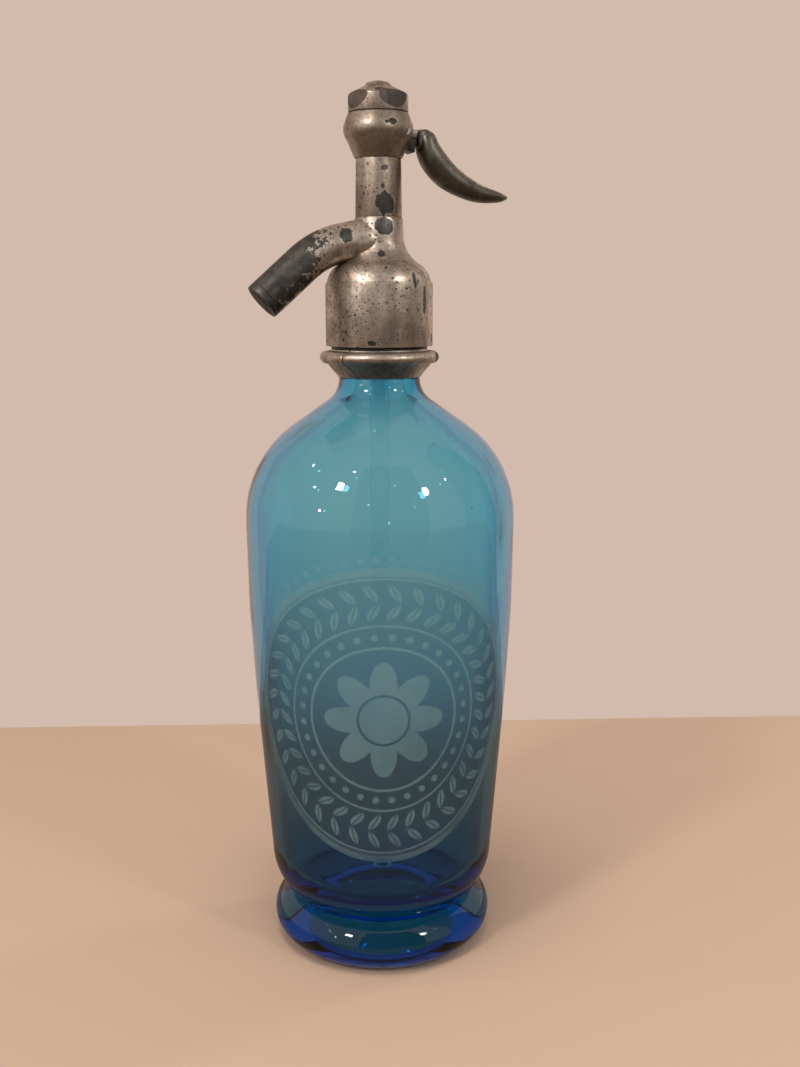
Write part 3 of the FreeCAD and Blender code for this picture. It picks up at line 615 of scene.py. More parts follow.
# %% Bottle
SKIN = 0.08
GLASS_OUTSIDE = [
    (0, 12.0), (26.0, 0, -34.2), (31.9, 0), (40.8 - SKIN, 8.9, 8.9), (33.2, 17.7, 8.9),
    (41.4 - SKIN, 35.0, 22.0), (46.3 - SKIN, 97.0), (48.5 - SKIN, 156.0, 760.0),
    (48.5 - SKIN, 160.0), (31.4, 192.8, 40.0), (18.3, 202.0), (14.4, 209.4, -9.1), (14.4, 210.1),
    (12.6, 210.1), (12.6, 229.9), (15.2, 229.9), (15.2, 235.5),
]
GLASS_INSIDE = [
    (8.4, 235.5), (8.4, 209.4), (13.2, 200.2, 12.0), (28.8, 189.1), (44.0, 160.0, -35.5),
    (44.0, 156.0), (41.8, 97.0, -760.0), (37.2, 39.0), (26.0, 21.0, -18.0), (0, 22.5, 230.0),
]
TUBE = [(2.0, 25.5), (3.3, 25.5), (3.3, 236.5), (2.0, 236.5)]
turned("bottle_glass", GLASS_OUTSIDE + GLASS_INSIDE, "body", blue_glass, "blue_glass", "bottle",
       edge=0.8)
turned("glass_tube", TUBE, "body", tube_glass, "tube_glass", "dip_tube", edge=0.3)

# %% [markdown]
# ## The etched skin
#
# The lines of the design are the opacity of a thin pale skin just outside the glass. The
# same skin carries a little dust over the whole side, because no old bottle is quite clean.

# %% Etched skin
ETCH_LOW, ETCH_HIGH = 40.0, 156.0
DUST, LINE_COVER, FROST_COVER = 0.04, 0.16, 0.12


def etched_material():
    """A matt skin: pale on the lines, dark between them, and a little dust all over."""
    material, shader, _ = new_material("etched_glass")
    graph = Graph(material.node_tree)
    place = graph.place()
    design = graph.node("Group", {"node_tree": ETCHING}, Place=place)
    worn = graph.ramp(graph.noise(place, 60.0, 5.0, 0.6), 0.3, 0.62, 0.3, 1.0)
    lines = graph.times(design.outputs["Lines"], graph.times(worn, LINE_COVER))
    frost = graph.times(design.outputs["Area"], FROST_COVER)
    height = graph.height(place)
    ends = graph.times(graph.ramp(height, 155 * MM, 115 * MM), graph.ramp(height, 42 * MM, 85 * MM))
    dust = graph.ramp(graph.noise(place, 22.0, 6.0, 0.6), 0.3, 0.7, DUST * 0.5, DUST)
    cover = graph.plus(graph.plus(lines, frost), graph.times(dust, ends))
    graph.put(shader.inputs["Alpha"], cover)
    tint = graph.mix(design.outputs["Area"], colour(0.5, 0.5, 0.47), colour(0.08, 0.1, 0.1))
    tint = graph.mix(design.outputs["Lines"], tint, colour(0.17, 0.29, 0.30))
    graph.put(shader.inputs["Base Color"], tint)
    shader.inputs["Roughness"].default_value = 0.9
    return material


low_radius = 46.3 - 4.9 * (97.0 - ETCH_LOW) / 62.0
side_out = [(low_radius, ETCH_LOW), (46.3, 97.0), (48.5, ETCH_HIGH, 760.0)]
side_in = [(48.5 - SKIN / 2, ETCH_HIGH), (46.3 - SKIN / 2, 97.0, -760.0),
           (low_radius - SKIN / 2, ETCH_LOW)]
etching_bm = bmesh.new()
lathe(etching_bm, [(radius - 0.02, *rest) for radius, *rest in side_out] + side_in)
finished(etching_bm, "etching", "body", etched_material(), "blue_glass")

# %% [markdown]
# ## Worn plate
#
# The metal is nickel plate over a grey alloy, and a century of hands has worn it. One node
# group makes that wear, so that each piece can have its own amounts: soft tarnish that runs
# in upright bands, fine dark pits, small flakes of lost plate, and a pale rim where the
# plate has broken off. The same group lays a painted highlight where it is told to, along
# the lever's top edge, which is partly wear from hands. A second group draws one ragged
# patch at a given place: bare metal, and on the collar and the housing painted shade.

# %% Bare metal and painted shade patch group


def build_bare_and_shade_patch():
    """A mask that is 1 inside a ragged oval about a place, with a wider rim."""
    tree, graph, given, result = new_group(
        "bare_and_shade_patch",
        [("Place", "Vector", (0, 0, 0)), ("Centre", "Vector", (0, 0, 0)),
         ("Size", "Vector", (1, 1, 1)), ("Ragged", "Float", 1.4)],
        [("Patch", "Float"), ("Rim", "Float")])
    offset = graph.vector("SUBTRACT", given["Place"], given["Centre"])
    away = graph.vector("LENGTH", graph.vector("DIVIDE", offset, given["Size"]))
    wobble = graph.minus(graph.noise(given["Place"], 380.0, 6.0, 0.6), 0.5)
    away = graph.plus(away, graph.times(wobble, given["Ragged"]))
    graph.put(result["Patch"], graph.ramp(away, 0.96, 1.0, 1.0, 0.0))
    graph.put(result["Rim"], graph.ramp(away, 1.0, 1.16, 1.0, 0.0))
    return tree


BARE_AND_SHADE_PATCH = build_bare_and_shade_patch()

# %% Worn plate group
PIT_COLOUR = colour(0.022, 0.017, 0.013)
RIM_COLOUR = colour(0.62, 0.57, 0.51)
# The last colour is a painted highlight along the lever's top edge, and partly wear from hands.
RUBBED_AND_HIGHLIGHT_COLOUR = colour(0.55, 0.52, 0.46)


def tarnish_of(graph, place, banding):
    """How brown the plate is: clouds, and bands that run up and down."""
    cloud = graph.ramp(graph.noise(place, 85.0, 5.0, 0.62), 0.4, 0.68)
    upright = graph.vector("MULTIPLY", place, (1.0, 1.0, 0.1))
    bands = graph.ramp(graph.noise(upright, 170.0, 4.0, 0.55), 0.42, 0.64)
    both = graph.plus(graph.times(cloud, 0.7), graph.times(bands, banding))
    return graph.math("MINIMUM", both, 1.0)


def pits_of(graph, place, amount):
    """Dark pits of two sizes, crowded in places."""
    warp = graph.times(graph.noise(place, 900.0, 4.0), 0.55)
    crowd = graph.ramp(graph.noise(place, 130.0, 4.0, 0.6), 0.36, 0.56)
    masks = []
    for scale, size in ((300.0, 0.36), (760.0, 0.46)):
        cells = graph.node("TexVoronoi", {"feature": "F1"}, Vector=place, Scale=scale)
        reach = graph.plus(cells.outputs["Distance"], warp)
        masks.append(graph.ramp(reach, size, size + 0.08, 1.0, 0.0))
    return graph.times(graph.times(graph.largest(masks), crowd), amount)


def build_worn_plate():
    """Colour, roughness and height of worn plate."""
    tree, graph, given, result = new_group(
        "worn_plate",
        [("Place", "Vector", (0, 0, 0)), ("Plate", "Color", colour(0.62, 0.53, 0.455)),
         ("Tarnish", "Color", colour(0.15, 0.115, 0.088)),
         ("Bare", "Color", colour(0.06, 0.059, 0.057)),
         ("Banding", "Float", 0.5), ("Pits", "Float", 0.8), ("Loss", "Float", 0.3),
         ("Patch", "Float", 0.0), ("Rim", "Float", 0.0), ("Worn_highlight", "Float", 0.0)],
        [("Color", "Color"), ("Roughness", "Float"), ("Height", "Float")])
    place = given["Place"]
    brown = tarnish_of(graph, place, given["Banding"])
    fine = graph.noise(place, 640.0, 8.0, 0.78)
    grain = graph.times(graph.ramp(fine, 0.42, 0.62), 0.45)
    plate = graph.mix(graph.times(brown, 0.75), given["Plate"], given["Tarnish"])
    plate = graph.mix(grain, plate, given["Tarnish"])
    pits = pits_of(graph, place, given["Pits"])
    plate = graph.mix(pits, plate, PIT_COLOUR)
    flake = graph.noise(place, 150.0, 6.0, 0.62)
    level = graph.minus(0.78, graph.times(given["Loss"], 0.3))
    lost = graph.ramp(flake, level, graph.plus(level, 0.012))
    halo = graph.ramp(flake, graph.minus(level, 0.03), level)
    rim = graph.times(graph.math("MAXIMUM", given["Rim"], halo), 0.45)
    plate = graph.mix(rim, plate, RIM_COLOUR)
    # Lost flakes and the given patches: bare metal, and on the collar and the housing painted
    # shade, all in the dark bare colour.
    bare_and_shade = graph.math("MAXIMUM", lost, given["Patch"])
    paler = graph.vector("MULTIPLY", given["Bare"], (2.2, 2.1, 2.0))
    blotch = graph.ramp(graph.noise(place, 260.0, 5.0, 0.65), 0.3, 0.75)
    metal = graph.mix(bare_and_shade, plate, graph.mix(blotch, given["Bare"], paler))
    # A painted highlight along the lever's top edge, partly wear from hands.
    metal = graph.mix(given["Worn_highlight"], metal, RUBBED_AND_HIGHLIGHT_COLOUR)
    graph.put(result["Color"], metal)
    rough = graph.times(fine, 0.2)
    for mask, rise in ((brown, 0.2), (bare_and_shade, 0.05), (pits, 0.3)):
        rough = graph.plus(rough, graph.times(mask, rise))
    graph.put(result["Roughness"], graph.plus(rough, 0.27))
    height = graph.minus(graph.times(fine, 0.3), pits)
    graph.put(result["Height"], graph.minus(height, bare_and_shade))
    return tree


WORN_PLATE = build_worn_plate()


def worn_metal(name, patches=(), ridge=None, **values):
    """Metal from the worn plate group, with ragged patches at given places.

    A patch is its centre and its half sizes in millimetres, and how ragged it is if that
    differs. Most patches are lost plate; those on the collar's top and on the housing's lug
    are painted shade. ridge names an attribute along the lever's top edge where the metal is
    made bright: a painted highlight, partly wear from hands.
    """
    material, shader, _ = new_material(name)
    graph = Graph(material.node_tree)
    place = graph.place()
    plate = graph.node("Group", {"node_tree": WORN_PLATE})
    graph.put(plate.inputs["Place"], place)
    for label, value in values.items():
        graph.put(plate.inputs[label], value)
    masks = []
    for centre, size, *ragged in patches:
        masks.append(graph.node("Group", {"node_tree": BARE_AND_SHADE_PATCH}, Place=place,
                                Centre=[value * MM for value in centre],
                                Size=[value * MM for value in size],
                                Ragged=ragged[0] if ragged else None))
    for label in ("Patch", "Rim") if masks else ():
        graph.put(plate.inputs[label], graph.largest([mask.outputs[label] for mask in masks]))
    # A painted highlight along the lever's top edge, partly wear from hands, broken up by noise.
    if ridge:
        rubbed_highlight = graph.node("Attribute", {"attribute_name": ridge}).outputs["Fac"]
        broken = graph.ramp(graph.noise(place, 300.0, 4.0, 0.6), 0.35, 0.6)
        graph.put(plate.inputs["Worn_highlight"], graph.times(rubbed_highlight, broken))
    graph.put(shader.inputs["Base Color"], plate.outputs["Color"])
    graph.put(shader.inputs["Roughness"], plate.outputs["Roughness"])
    shader.inputs["Metallic"].default_value = 1.0
    relief = graph.node("Bump", Height=plate.outputs["Height"], Strength=0.7, Distance=0.05 * MM)
    graph.put(shader.inputs["Normal"], relief.outputs[0])
    return material


print("worn plate ready")

# %% [markdown]
# ## The head
#
# Skirt, dome, neck and spout are one casting. The turned part is spun. The spout is a chain
# of rings along its bend, bridged into a skin: the first rings are wide, so that the spout
# grows out of the neck in a flare, and the last ones turn in to make the mouth. Its outer
# two thirds have lost their plate, so that patch is very large.

# %% Rings along a path


def plane_at(reach, height, turn):
    """The plane at a place in the XZ plane, in millimetres, turned about Y."""
    return Matrix.Translation(Vector((reach, 0, height)) * MM) @ Matrix.Rotation(turn, 4, "Y")


def ring(bm, matrix, across, up, count=48):
    """An oval of edges on a plane given by a matrix, with half sizes in millimetres."""
    shape = matrix @ Matrix.Diagonal((across * MM, up * MM, 1.0, 1.0))
    made = bmesh.ops.create_circle(bm, cap_ends=False, segments=count, radius=1.0, matrix=shape)
    return list({edge for vert in made["verts"] for edge in vert.link_edges})


def skin(bm, rings):
    """Bridge each ring to the next one, and close both ends."""
    for first, second in zip(rings, rings[1:]):
        bmesh.ops.bridge_loops(bm, edges=first + second)
    bmesh.ops.holes_fill(bm, edges=rings[0] + rings[-1], sides=0)


# %% Spout
SPOUT_HEIGHT, SPOUT_STRAIGHT, SPOUT_BEND = 256.7, 7.6, 30.1
SPOUT_ANGLE, SPOUT_LENGTH, SPOUT_RADIUS = math.radians(41.3), 19.8, 6.7
SPOUT_TOTAL = SPOUT_STRAIGHT + SPOUT_ANGLE * SPOUT_BEND + SPOUT_LENGTH
FLARE_RISE, FLARE_START, FLARE_FADE = 1.4, 7.3, 1.8
MOUTH_DEPTH, MOUTH_RADIUS = 13.4, 5.3


def spout_place(distance):
    """Matrix of the plane across the spout, at a distance from the neck's axis."""
    angle = min(max((distance - SPOUT_STRAIGHT) / SPOUT_BEND, 0.0), SPOUT_ANGLE)
    level_part = min(distance, SPOUT_STRAIGHT)
    last = max(distance - SPOUT_STRAIGHT - SPOUT_ANGLE * SPOUT_BEND, 0.0)
    reach = -level_part - SPOUT_BEND * math.sin(angle) - last * math.cos(angle)
    height = SPOUT_HEIGHT - SPOUT_BEND * (1 - math.cos(angle)) - last * math.sin(angle)
    return plane_at(reach, height, -math.pi / 2 - angle)


def spout_rings(bm):
    """The spout's outside, its mouth and the hole for its liner."""
    shape = []
    for count in range(30):
        distance = SPOUT_TOTAL * count / 30
        flare = FLARE_RISE * math.exp(-max(distance - FLARE_START, 0.0) / FLARE_FADE)
        shape.append((distance, SPOUT_RADIUS + flare))
    shape += [(SPOUT_TOTAL - 2.9, 6.7), (SPOUT_TOTAL - 2.75, 6.55), (SPOUT_TOTAL - 2.55, 6.55),
              (SPOUT_TOTAL - 2.4, 6.72), (SPOUT_TOTAL - 0.5, 6.7), (SPOUT_TOTAL - 0.12, 6.55),
              (SPOUT_TOTAL, 6.2)]
    shape.sort()
    shape += [(SPOUT_TOTAL, 5.6), (SPOUT_TOTAL - 0.25, MOUTH_RADIUS),
              (SPOUT_TOTAL - MOUTH_DEPTH, MOUTH_RADIUS)]
    return [ring(bm, spout_place(distance), radius, radius) for distance, radius in shape]


# %% Head and liner
HEAD = [
    (4.05, 226.0), (7.6, 226.0), (7.6, 237.5), (17.05, 237.5), (17.05, 221.0), (18.85, 221.0),
    (18.85, 242.35), (18.6, 242.5), (18.62, 242.75), (18.25, 242.95), (13.6, 249.5, 9.0),
    (8.7, 258.0, -11.3), (8.35, 264.4), (8.05, 265.0), (2.2, 265.0), (2.2, 236.5), (4.05, 236.5),
]
HEAD_PATCHES = [
    ((-42.0, 0, 262.0), (20.6, 22.0, 34.0)), ((-13.9, -6.3, 258.8), (2.2, 3.0, 2.9)),
    ((-1.0, -8.25, 261.6), (3.1, 3.0, 2.9)), ((-3.0, -11.1, 252.7), (1.6, 2.5, 1.3)),
    ((7.0, -16.6, 243.6), (0.8, 1.6, 3.2)), ((11.3, -15.1, 236.9), (0.9, 1.4, 5.2)),
    ((-8.6, -16.6, 222.4), (1.6, 1.5, 0.9)), ((15.6, -10.4, 223.5), (1.0, 1.6, 1.8)),
]
head_metal = worn_metal("head_metal", HEAD_PATCHES, Banding=0.55, Pits=0.9, Loss=0.35)


def make_head():
    """The turned head with the spout's skin run into its neck."""
    bm = bmesh.new()
    lathe(bm, HEAD)
    round_edges(bm, 0.14)
    skin(bm, spout_rings(bm))
    finished(bm, "head", "body", head_metal, "nickel", "head_casting")


make_head()
liner_metal = worn_metal("liner_metal", Plate=colour(0.3, 0.27, 0.22),
                         Banding=0.2, Pits=0.3, Loss=0.2)
liner_bm = bmesh.new()
lathe(liner_bm, [(3.6, 0), (5.2, 0), (5.2, 12.0), (4.2, 12.0), (3.6, 11.0)], steps=64)
round_edges(liner_bm, 0.15)
bmesh.ops.transform(liner_bm, matrix=spout_place(SPOUT_TOTAL - MOUTH_DEPTH), verts=liner_bm.verts)
finished(liner_bm, "liner", "body", liner_metal, "nickel", "spout_nozzle")

# %% [markdown]
# ## The split collar
#
# The collar is a ring in two halves, so that it can go round the glass neck below its bead.
# Each half is spun through half a turn. The joint between them is slanted at the bottom:
# every point below the bend moves a little along X and is put back on its own radius.

# %% Collar halves
COLLAR = [
    (12.7, 210.1), (14.7, 210.1), (15.0, 210.7), (18.6, 215.0), (21.1, 217.1, 2.2),
    (18.6, 219.2, 2.2), (16.95, 219.4), (16.95, 229.9), (13.6, 229.9), (13.6, 222.0), (12.7, 222.0),
]
COLLAR_TURN = math.radians(-56.0)
COLLAR_KERF, COLLAR_SLANT = 0.35, 2.2
SLANT_TOP, SLANT_BOTTOM = 215.4, 209.1


def turn_about(bm, turn):
    """Turn everything about the Z axis."""
    bmesh.ops.rotate(bm, cent=(0, 0, 0), matrix=Matrix.Rotation(turn, 3, "Z"), verts=bm.verts)


def part_the_joint(bm, side):
    """Move a half's ends apart, and slant them below the bend."""
    for vert in bm.verts:
        radius = math.hypot(vert.co.x, vert.co.y)
        drop = min(max((SLANT_TOP - vert.co.z / MM) / (SLANT_TOP - SLANT_BOTTOM), 0.0), 1.0)
        shift = (side * COLLAR_KERF / 2 + COLLAR_SLANT * drop) * MM * abs(vert.co.y) / radius
        moved = Vector((vert.co.x + shift, vert.co.y)).normalized() * radius
        vert.co.x, vert.co.y = moved


def collar_half(name, side, node, material):
    """One half of the ring, from one joint round to the other."""
    bm = bmesh.new()
    lathe(bm, COLLAR, angle=math.pi, steps=AROUND // 2)
    bmesh.ops.recalc_face_normals(bm, faces=bm.faces)
    turn_about(bm, -side * math.pi / 2)
    part_the_joint(bm, side)
    round_edges(bm, 0.12)
    turn_about(bm, COLLAR_TURN)
    finished(bm, name, "body", material, "nickel", node)


# The wide flat patch round the collar's top, from the bead up, is painted shade in the narrow
# groove under the skirt, over a thread that is greasy and dark as well. The dark colour given for
# bare metal serves it and the bare patch at the bead.
collar_metal = worn_metal("collar_metal", [((17.6, -10.6, 217.0), (4.5, 3.6, 2.0)),
                                           ((0, 0, 225.0), (60.0, 60.0, 5.5), 0.05)],
                          Bare=colour(0.035, 0.032, 0.03), Banding=0.25, Pits=0.4, Loss=0.25)
# The CAD half called front lies on the side of the joint that faces away from +X.
for half_name, half_side, half_node in (("collar_front", -1, "collar_half_front"),
                                        ("collar_rear", 1, "collar_half_rear")):
    collar_half(half_name, half_side, half_node, collar_metal)

# %% [markdown]
# ## Barrel and lever housing
#
# The barrel is a plain turned tube. The housing above it bulges, because the lever's pin
# and finger need room inside. The slot is cut out with a Boolean, as a milling cutter would
# cut it, and a small lug stands under it.

# %% Cutting helper


def boolean(bm, tool, operation):
    """Join or cut one bmesh with another, and hand back the result as a new bmesh."""
    for solid in (bm, tool):
        bmesh.ops.recalc_face_normals(solid, faces=solid.faces)
    work, cutter = mesh_object(bm, "work"), mesh_object(tool, "cutter")
    cut = work.modifiers.new("boolean", "BOOLEAN")
    cut.object, cut.operation, cut.solver = cutter, operation, "EXACT"
    result = work.evaluated_get(bpy.context.evaluated_depsgraph_get())
    made = bmesh.new()
    made.from_mesh(result.data)
    for piece in (work, cutter):
        mesh = piece.data
        bpy.data.objects.remove(piece)
        bpy.data.meshes.remove(mesh)
    return made


def block(bm, low, high):
    """A box between two corners, in millimetres."""
    low, high = Vector(low) * MM, Vector(high) * MM
    shape = Matrix.Translation((low + high) / 2) @ Matrix.Diagonal((*(high - low), 1.0))
    return bmesh.ops.create_cube(bm, size=1.0, matrix=shape)["verts"]


def push(bm, corners, aside):
    """A solid from the corners of a flat face, pushed aside."""
    face = bm.faces.new([bm.verts.new(corner) for corner in corners])
    pushed = bmesh.ops.extrude_face_region(bm, geom=[face])
    moved = [item for item in pushed["geom"] if isinstance(item, bmesh.types.BMVert)]
    bmesh.ops.translate(bm, verts=moved, vec=aside)


def rod(bm, radius, depth, place, segments):
    """A cylinder along the Z axis of its place, in millimetres."""
    bmesh.ops.create_cone(bm, cap_ends=True, segments=segments, radius1=radius * MM,
                          radius2=radius * MM, depth=depth * MM, matrix=place)


# %% Barrel
BARREL = [(5.0, 260.8), (6.45, 260.8), (6.45, 265.0), (8.1, 265.0), (7.8, 284.7), (6.45, 284.7),
          (6.45, 288.6), (5.0, 288.6)]
barrel_metal = worn_metal("barrel_metal", [((-0.2, -7.9, 269.3), (3.5, 3.0, 3.9)),
                                           ((-1.2, -7.8, 275.0), (0.7, 1.0, 0.9)),
                                           ((-0.6, -7.8, 281.0), (1.4, 1.0, 1.0))],
                          Plate=colour(0.47, 0.395, 0.335), Banding=0.6, Pits=0.75, Loss=0.15)
turned("barrel", BARREL, "body", barrel_metal, "nickel", "column_barrel", edge=0.16)

# %% Lever housing
HOUSING = [
    (6.5, 284.7), (8.3, 284.7), (10.3, 289.4), (11.35, 291.3), (11.5, 296.6, 5.8), (10.45, 299.3),
    (7.7, 299.3), (7.7, 295.8), (5.6, 295.8), (5.6, 288.6), (6.5, 288.6),
]
SLOT_LOW, SLOT_HIGH, SLOT_HALF = 288.6, 296.4, 2.0
LUG_OUTLINE = [(4.0, 289.4), (12.2, 286.6), (12.2, 291.2), (4.0, 291.2)]
LUG_HALF = 3.6
CORE_RADIUS, CORE_DEPTH, CORE_MIDDLE = 5.6, 7.2, 292.2
# The third patch, over the lug under the slot, is painted shade where the lug lies in shadow under
# the lever, drawn as dark bare metal. The dark bare colour here serves it and the two bare patches
# on the bulge.
housing_metal = worn_metal("housing_metal", [((1.2, -11.5, 295.7), (1.8, 2.0, 1.3)),
                                             ((-1.0, -11.6, 295.4), (0.7, 1.0, 0.6)),
                                             ((13.2, 0, 288.0), (4.6, 8.0, 6.0), 0.3)],
                           Plate=colour(0.44, 0.37, 0.305), Bare=colour(0.035, 0.031, 0.027),
                           Banding=0.25, Pits=0.35, Loss=0.1)


def lug():
    """The wedge under the slot, from its side outline."""
    bm = bmesh.new()
    corners = [Vector((reach, -LUG_HALF, height)) * MM for reach, height in LUG_OUTLINE]
    push(bm, corners, (0, 2 * LUG_HALF * MM, 0))
    bmesh.ops.recalc_face_normals(bm, faces=bm.faces)
    round_edges(bm, 0.4)
    return bm


def make_housing():
    """The bulge with its lug, cut open for the lever."""
    bm = bmesh.new()
    lathe(bm, HOUSING)
    round_edges(bm, 0.12, angle=20.0)
    bm = boolean(bm, lug(), "UNION")
    core = bmesh.new()
    rod(core, CORE_RADIUS, CORE_DEPTH, Matrix.Translation((0, 0, CORE_MIDDLE * MM)), 96)
    bm = boolean(bm, core, "DIFFERENCE")
    slot = bmesh.new()
    block(slot, (1.0, -SLOT_HALF, SLOT_LOW), (16.0, SLOT_HALF, SLOT_HIGH))
    bm = boolean(bm, slot, "DIFFERENCE")
    finished(bm, "housing", "body", housing_metal, "nickel", "lever_housing", sharp=32.0)


make_housing()

# %% [markdown]
# ## The cap
#
# The cap screws down on the return spring. It is turned with a low cone and a boss on top,
# and has four spanner flats with round lower ends. The flats have lost their plate, so their
# faces get the bare metal as a second material.

# %% Cap
CAP = [
    (0, 306.4), (5.6, 306.4), (5.6, 295.9), (7.65, 295.9), (7.65, 299.7), (10.3, 299.7),
    (10.3, 305.2), (9.8, 305.8), (4.9, 308.2), (4.1, 309.2, -1.6), (0, 310.0, 10.9),
]
FLAT_DISTANCE, FLAT_BOTTOM, FLAT_SHOULDER, FLAT_HALF, FLAT_BEND = 8.55, 300.3, 305.6, 6.3, 6.45
FLAT_TURN = math.radians(16.0)
cap_metal = worn_metal("cap_metal", [((-2.0, -9.6, 306.5), (2.4, 2.4, 1.0))],
                       Plate=colour(0.47, 0.395, 0.33), Banding=0.3, Pits=0.5, Loss=0.45)
flat_metal = worn_metal("flat_metal", Plate=colour(0.22, 0.2, 0.18),
                        Tarnish=colour(0.07, 0.06, 0.055), Banding=1.0, Pits=0.2, Loss=0.0)


def flat_cutter(turn):
    """A block outside one flat, with a round lower end."""
    bm = bmesh.new()
    outline = [(-FLAT_HALF, 312.0), (-FLAT_HALF, FLAT_SHOULDER), (0, FLAT_BOTTOM, FLAT_BEND),
               (FLAT_HALF, FLAT_SHOULDER, FLAT_BEND), (FLAT_HALF, 312.0)]
    out = Vector((0, FLAT_DISTANCE * MM, 0))
    push(bm, [point + out for point in trace(outline)], (0, 4.0 * MM, 0))
    turn_about(bm, turn)
    return bm


def make_cap():
    """The turned cap with its four flats."""
    bm = bmesh.new()
    lathe(bm, CAP)
    round_edges(bm, 0.15)
    for count in range(4):
        bm = boolean(bm, flat_cutter(FLAT_TURN + count * math.pi / 2), "DIFFERENCE")
    piece = finished(bm, "cap", "body", cap_metal, "nickel", "top_cap", sharp=25.0)
    piece.data.materials.append(flat_metal)
    for face in piece.data.polygons:
        upright = abs(face.normal.z) < 0.05
        flat = abs(face.center.dot(face.normal) - FLAT_DISTANCE * MM) < 0.02 * MM
        if upright and flat and face.center.z > FLAT_BOTTOM * MM:
            face.material_index = 1


make_cap()

# %% [markdown]
# ## The lever
#
# The lever is a horn: oval rings from its rounded top to its tip, each with its own place,
# lean and size. A few measured sections are enough, because a smooth curve through them
# gives the rings between. A bright line along each side of its top is a painted highlight
# where the rounded edge meets the light from above, and partly wear from hands, so every
# ring stores how near its points are to that line, and the material reads it.

# %% Lever
ARM = [
    (16.5, 294.75, 84.0, 1.2, 1.5), (17.2, 292.6, 75.0, 3.2, 3.8), (18.1, 288.6, 66.0, 4.2, 4.9),
    (20.9, 284.0, 52.0, 4.7, 5.6), (26.6, 278.7, 36.0, 4.4, 5.5), (36.2, 274.2, 16.0, 3.3, 4.4),
    (44.6, 272.8, 5.0, 2.0, 3.0), (48.3, 272.6, 2.0, 0.7, 1.1),
]
PIVOT_REACH, PIVOT_HEIGHT = 7.0, 293.0
LEVER_HALF = 1.8
HUB_RADIUS = 2.5
NECK_BLOCK = ((9.6, -LEVER_HALF, 291.4), (17.0, LEVER_HALF, 294.5), 0.5)
WEB_BLOCK = ((13.5, -2.9, 288.2), (18.5, 2.9, 294.6), 1.4)
# Where the painted highlight lies round each ring, counted from the top, and how wide it is, in
# degrees.
RIDGE_TURN, RIDGE_WIDTH = 34.0, 13.0
lever_metal = worn_metal("lever_metal", ridge="ridge", Plate=colour(0.2, 0.185, 0.155),
                         Tarnish=colour(0.055, 0.048, 0.038), Bare=colour(0.05, 0.05, 0.048),
                         Banding=0.2, Pits=0.5, Loss=0.2)


def between(rows, place):
    """A smooth curve through rows of numbers (Catmull-Rom), at a place along them."""
    index = min(int(place), len(rows) - 2)
    share = place - index
    picks = [rows[min(max(index + step, 0), len(rows) - 1)] for step in (-1, 0, 1, 2)]
    return [0.5 * (2 * b + (c - a) * share + (2 * a - 5 * b + 4 * c - d) * share ** 2
                   + (3 * b - a - 3 * c + d) * share ** 3) for a, b, c, d in zip(*picks)]


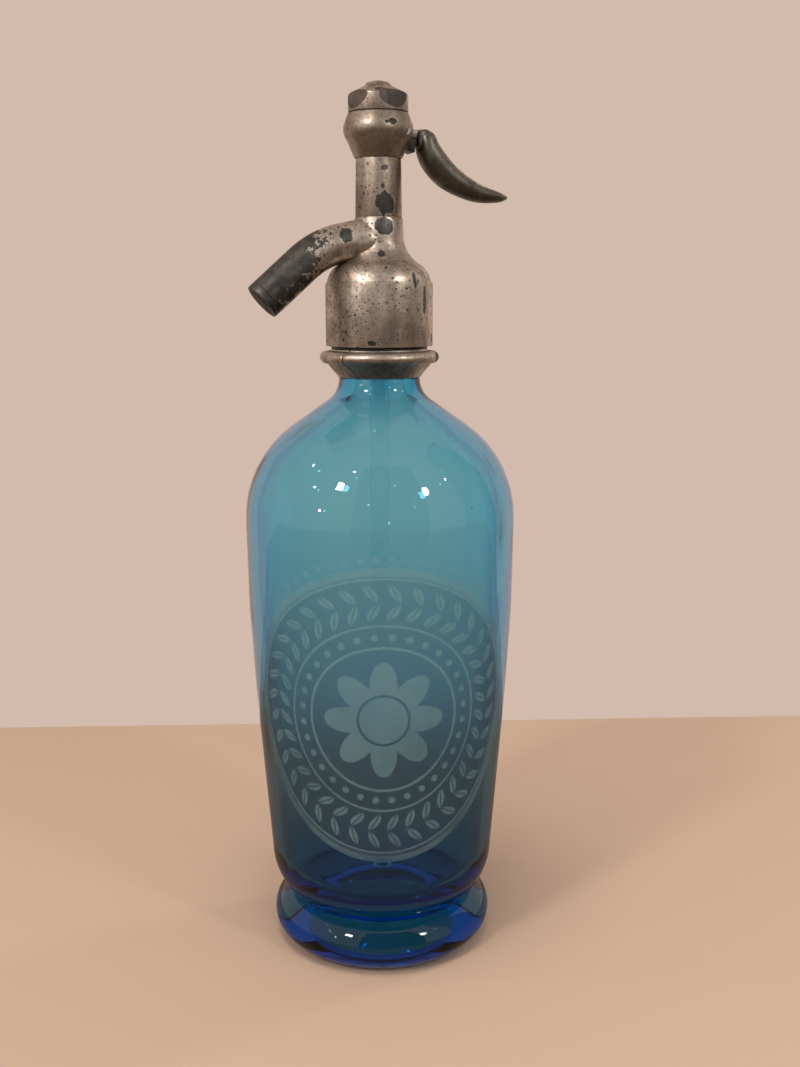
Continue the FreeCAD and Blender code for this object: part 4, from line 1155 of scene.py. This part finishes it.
def make_lever():
    """Horn, neck, hub and finger as one piece."""
    bm = bmesh.new()
    ridge = bm.verts.layers.float.new("ridge")
    rings = []
    steps = 6 * (len(ARM) - 1)
    for count in range(steps + 1):
        reach, height, lean, depth, width = between(ARM, count * (len(ARM) - 1) / steps)
        plane = plane_at(reach, height, math.radians(lean - 90.0))
        edges = ring(bm, plane, depth, width, 40)
        back = plane.inverted()
        # Each point stores how near it is to the painted highlight along the top, which is partly
        # wear from hands; it grows towards the tip.
        for vert in {vert for edge in edges for vert in edge.verts}:
            spot = back @ vert.co
            turn = math.degrees(math.atan2(abs(spot.y) / width, spot.x / depth))
            line = math.exp(-((turn - RIDGE_TURN) / RIDGE_WIDTH) ** 2)
            vert[ridge] = line * min(0.35 + count / steps, 1.0)
        rings.append(edges)
    skin(bm, rings)
    for low, high, width in (NECK_BLOCK, WEB_BLOCK):
        corners = block(bm, low, high)
        bevel(bm, list({edge for vert in corners for edge in vert.link_edges}), width, segments=4)
    hub_place = Matrix.Translation(Vector((PIVOT_REACH, 0, PIVOT_HEIGHT)) * MM)
    rod(bm, HUB_RADIUS, 2 * LEVER_HALF, hub_place @ Matrix.Rotation(math.pi / 2, 4, "X"), 40)
    block(bm, (0.8, -LEVER_HALF + 0.01, 291.6), (6.4, LEVER_HALF - 0.01, 293.6))
    finished(bm, "horn_lever", "lever", lever_metal, "dark_metal", "lever", sharp=35.0)


make_lever()

# %% [markdown]
# ## Inner pieces
#
# The spring, the valve, the seals, the washers and the lever's pin keep their CAD shapes.
# Each gets a material of its own kind, in case a view opens on it: brass with a turned
# grain, rubber and fibre that are matt, leather with a fine grain, and drawn steel.

# %% Inner finishes


def plain_finish(name, base, darker, rough, metallic, scale, bump):
    """A simple finish: a colour that varies with noise, and some grain."""
    material, shader, _ = new_material(name)
    graph = Graph(material.node_tree)
    place = graph.place()
    cloud = graph.noise(place, scale / 6, 4.0)
    grain = graph.noise(place, scale, 5.0, 0.65)
    graph.put(shader.inputs["Base Color"], graph.mix(graph.ramp(cloud, 0.3, 0.7), base, darker))
    graph.put(shader.inputs["Roughness"], graph.ramp(grain, 0.2, 0.8, rough - 0.08, rough + 0.12))
    shader.inputs["Metallic"].default_value = metallic
    relief = graph.node("Bump", Height=grain, Strength=0.6, Distance=bump * MM)
    graph.put(shader.inputs["Normal"], relief.outputs[0])
    return material


FINISH_ROWS = [
    ("brass", "turned_brass", (0.6, 0.42, 0.16), (0.35, 0.22, 0.09), 0.35, 1.0, 1500, 0.02),
    ("steel", "drawn_steel", (0.42, 0.41, 0.39), (0.22, 0.2, 0.18), 0.32, 1.0, 1800, 0.02),
    ("rubber", "black_rubber", (0.03, 0.03, 0.03), (0.015, 0.015, 0.015), 0.7, 0.0, 1200, 0.04),
    ("fibre", "brown_fibre", (0.07, 0.05, 0.038), (0.035, 0.026, 0.02), 0.75, 0.0, 1600, 0.05),
    ("leather", "greased_leather", (0.12, 0.06, 0.03), (0.06, 0.03, 0.015), 0.6, 0.0, 1400, 0.08),
]
FINISHES = {slot: plain_finish(name, colour(*base), colour(*darker), *values)
            for slot, name, base, darker, *values in FINISH_ROWS}
for entry in frame["record"]["subparts"]:
    node = frame["nodes"][entry["node"]]
    if not node.hide_render:
        node.data.materials.clear()
        node.data.materials.append(FINISHES[entry["material_slot"]])
        print(entry["node"], "gets", entry["material_slot"])
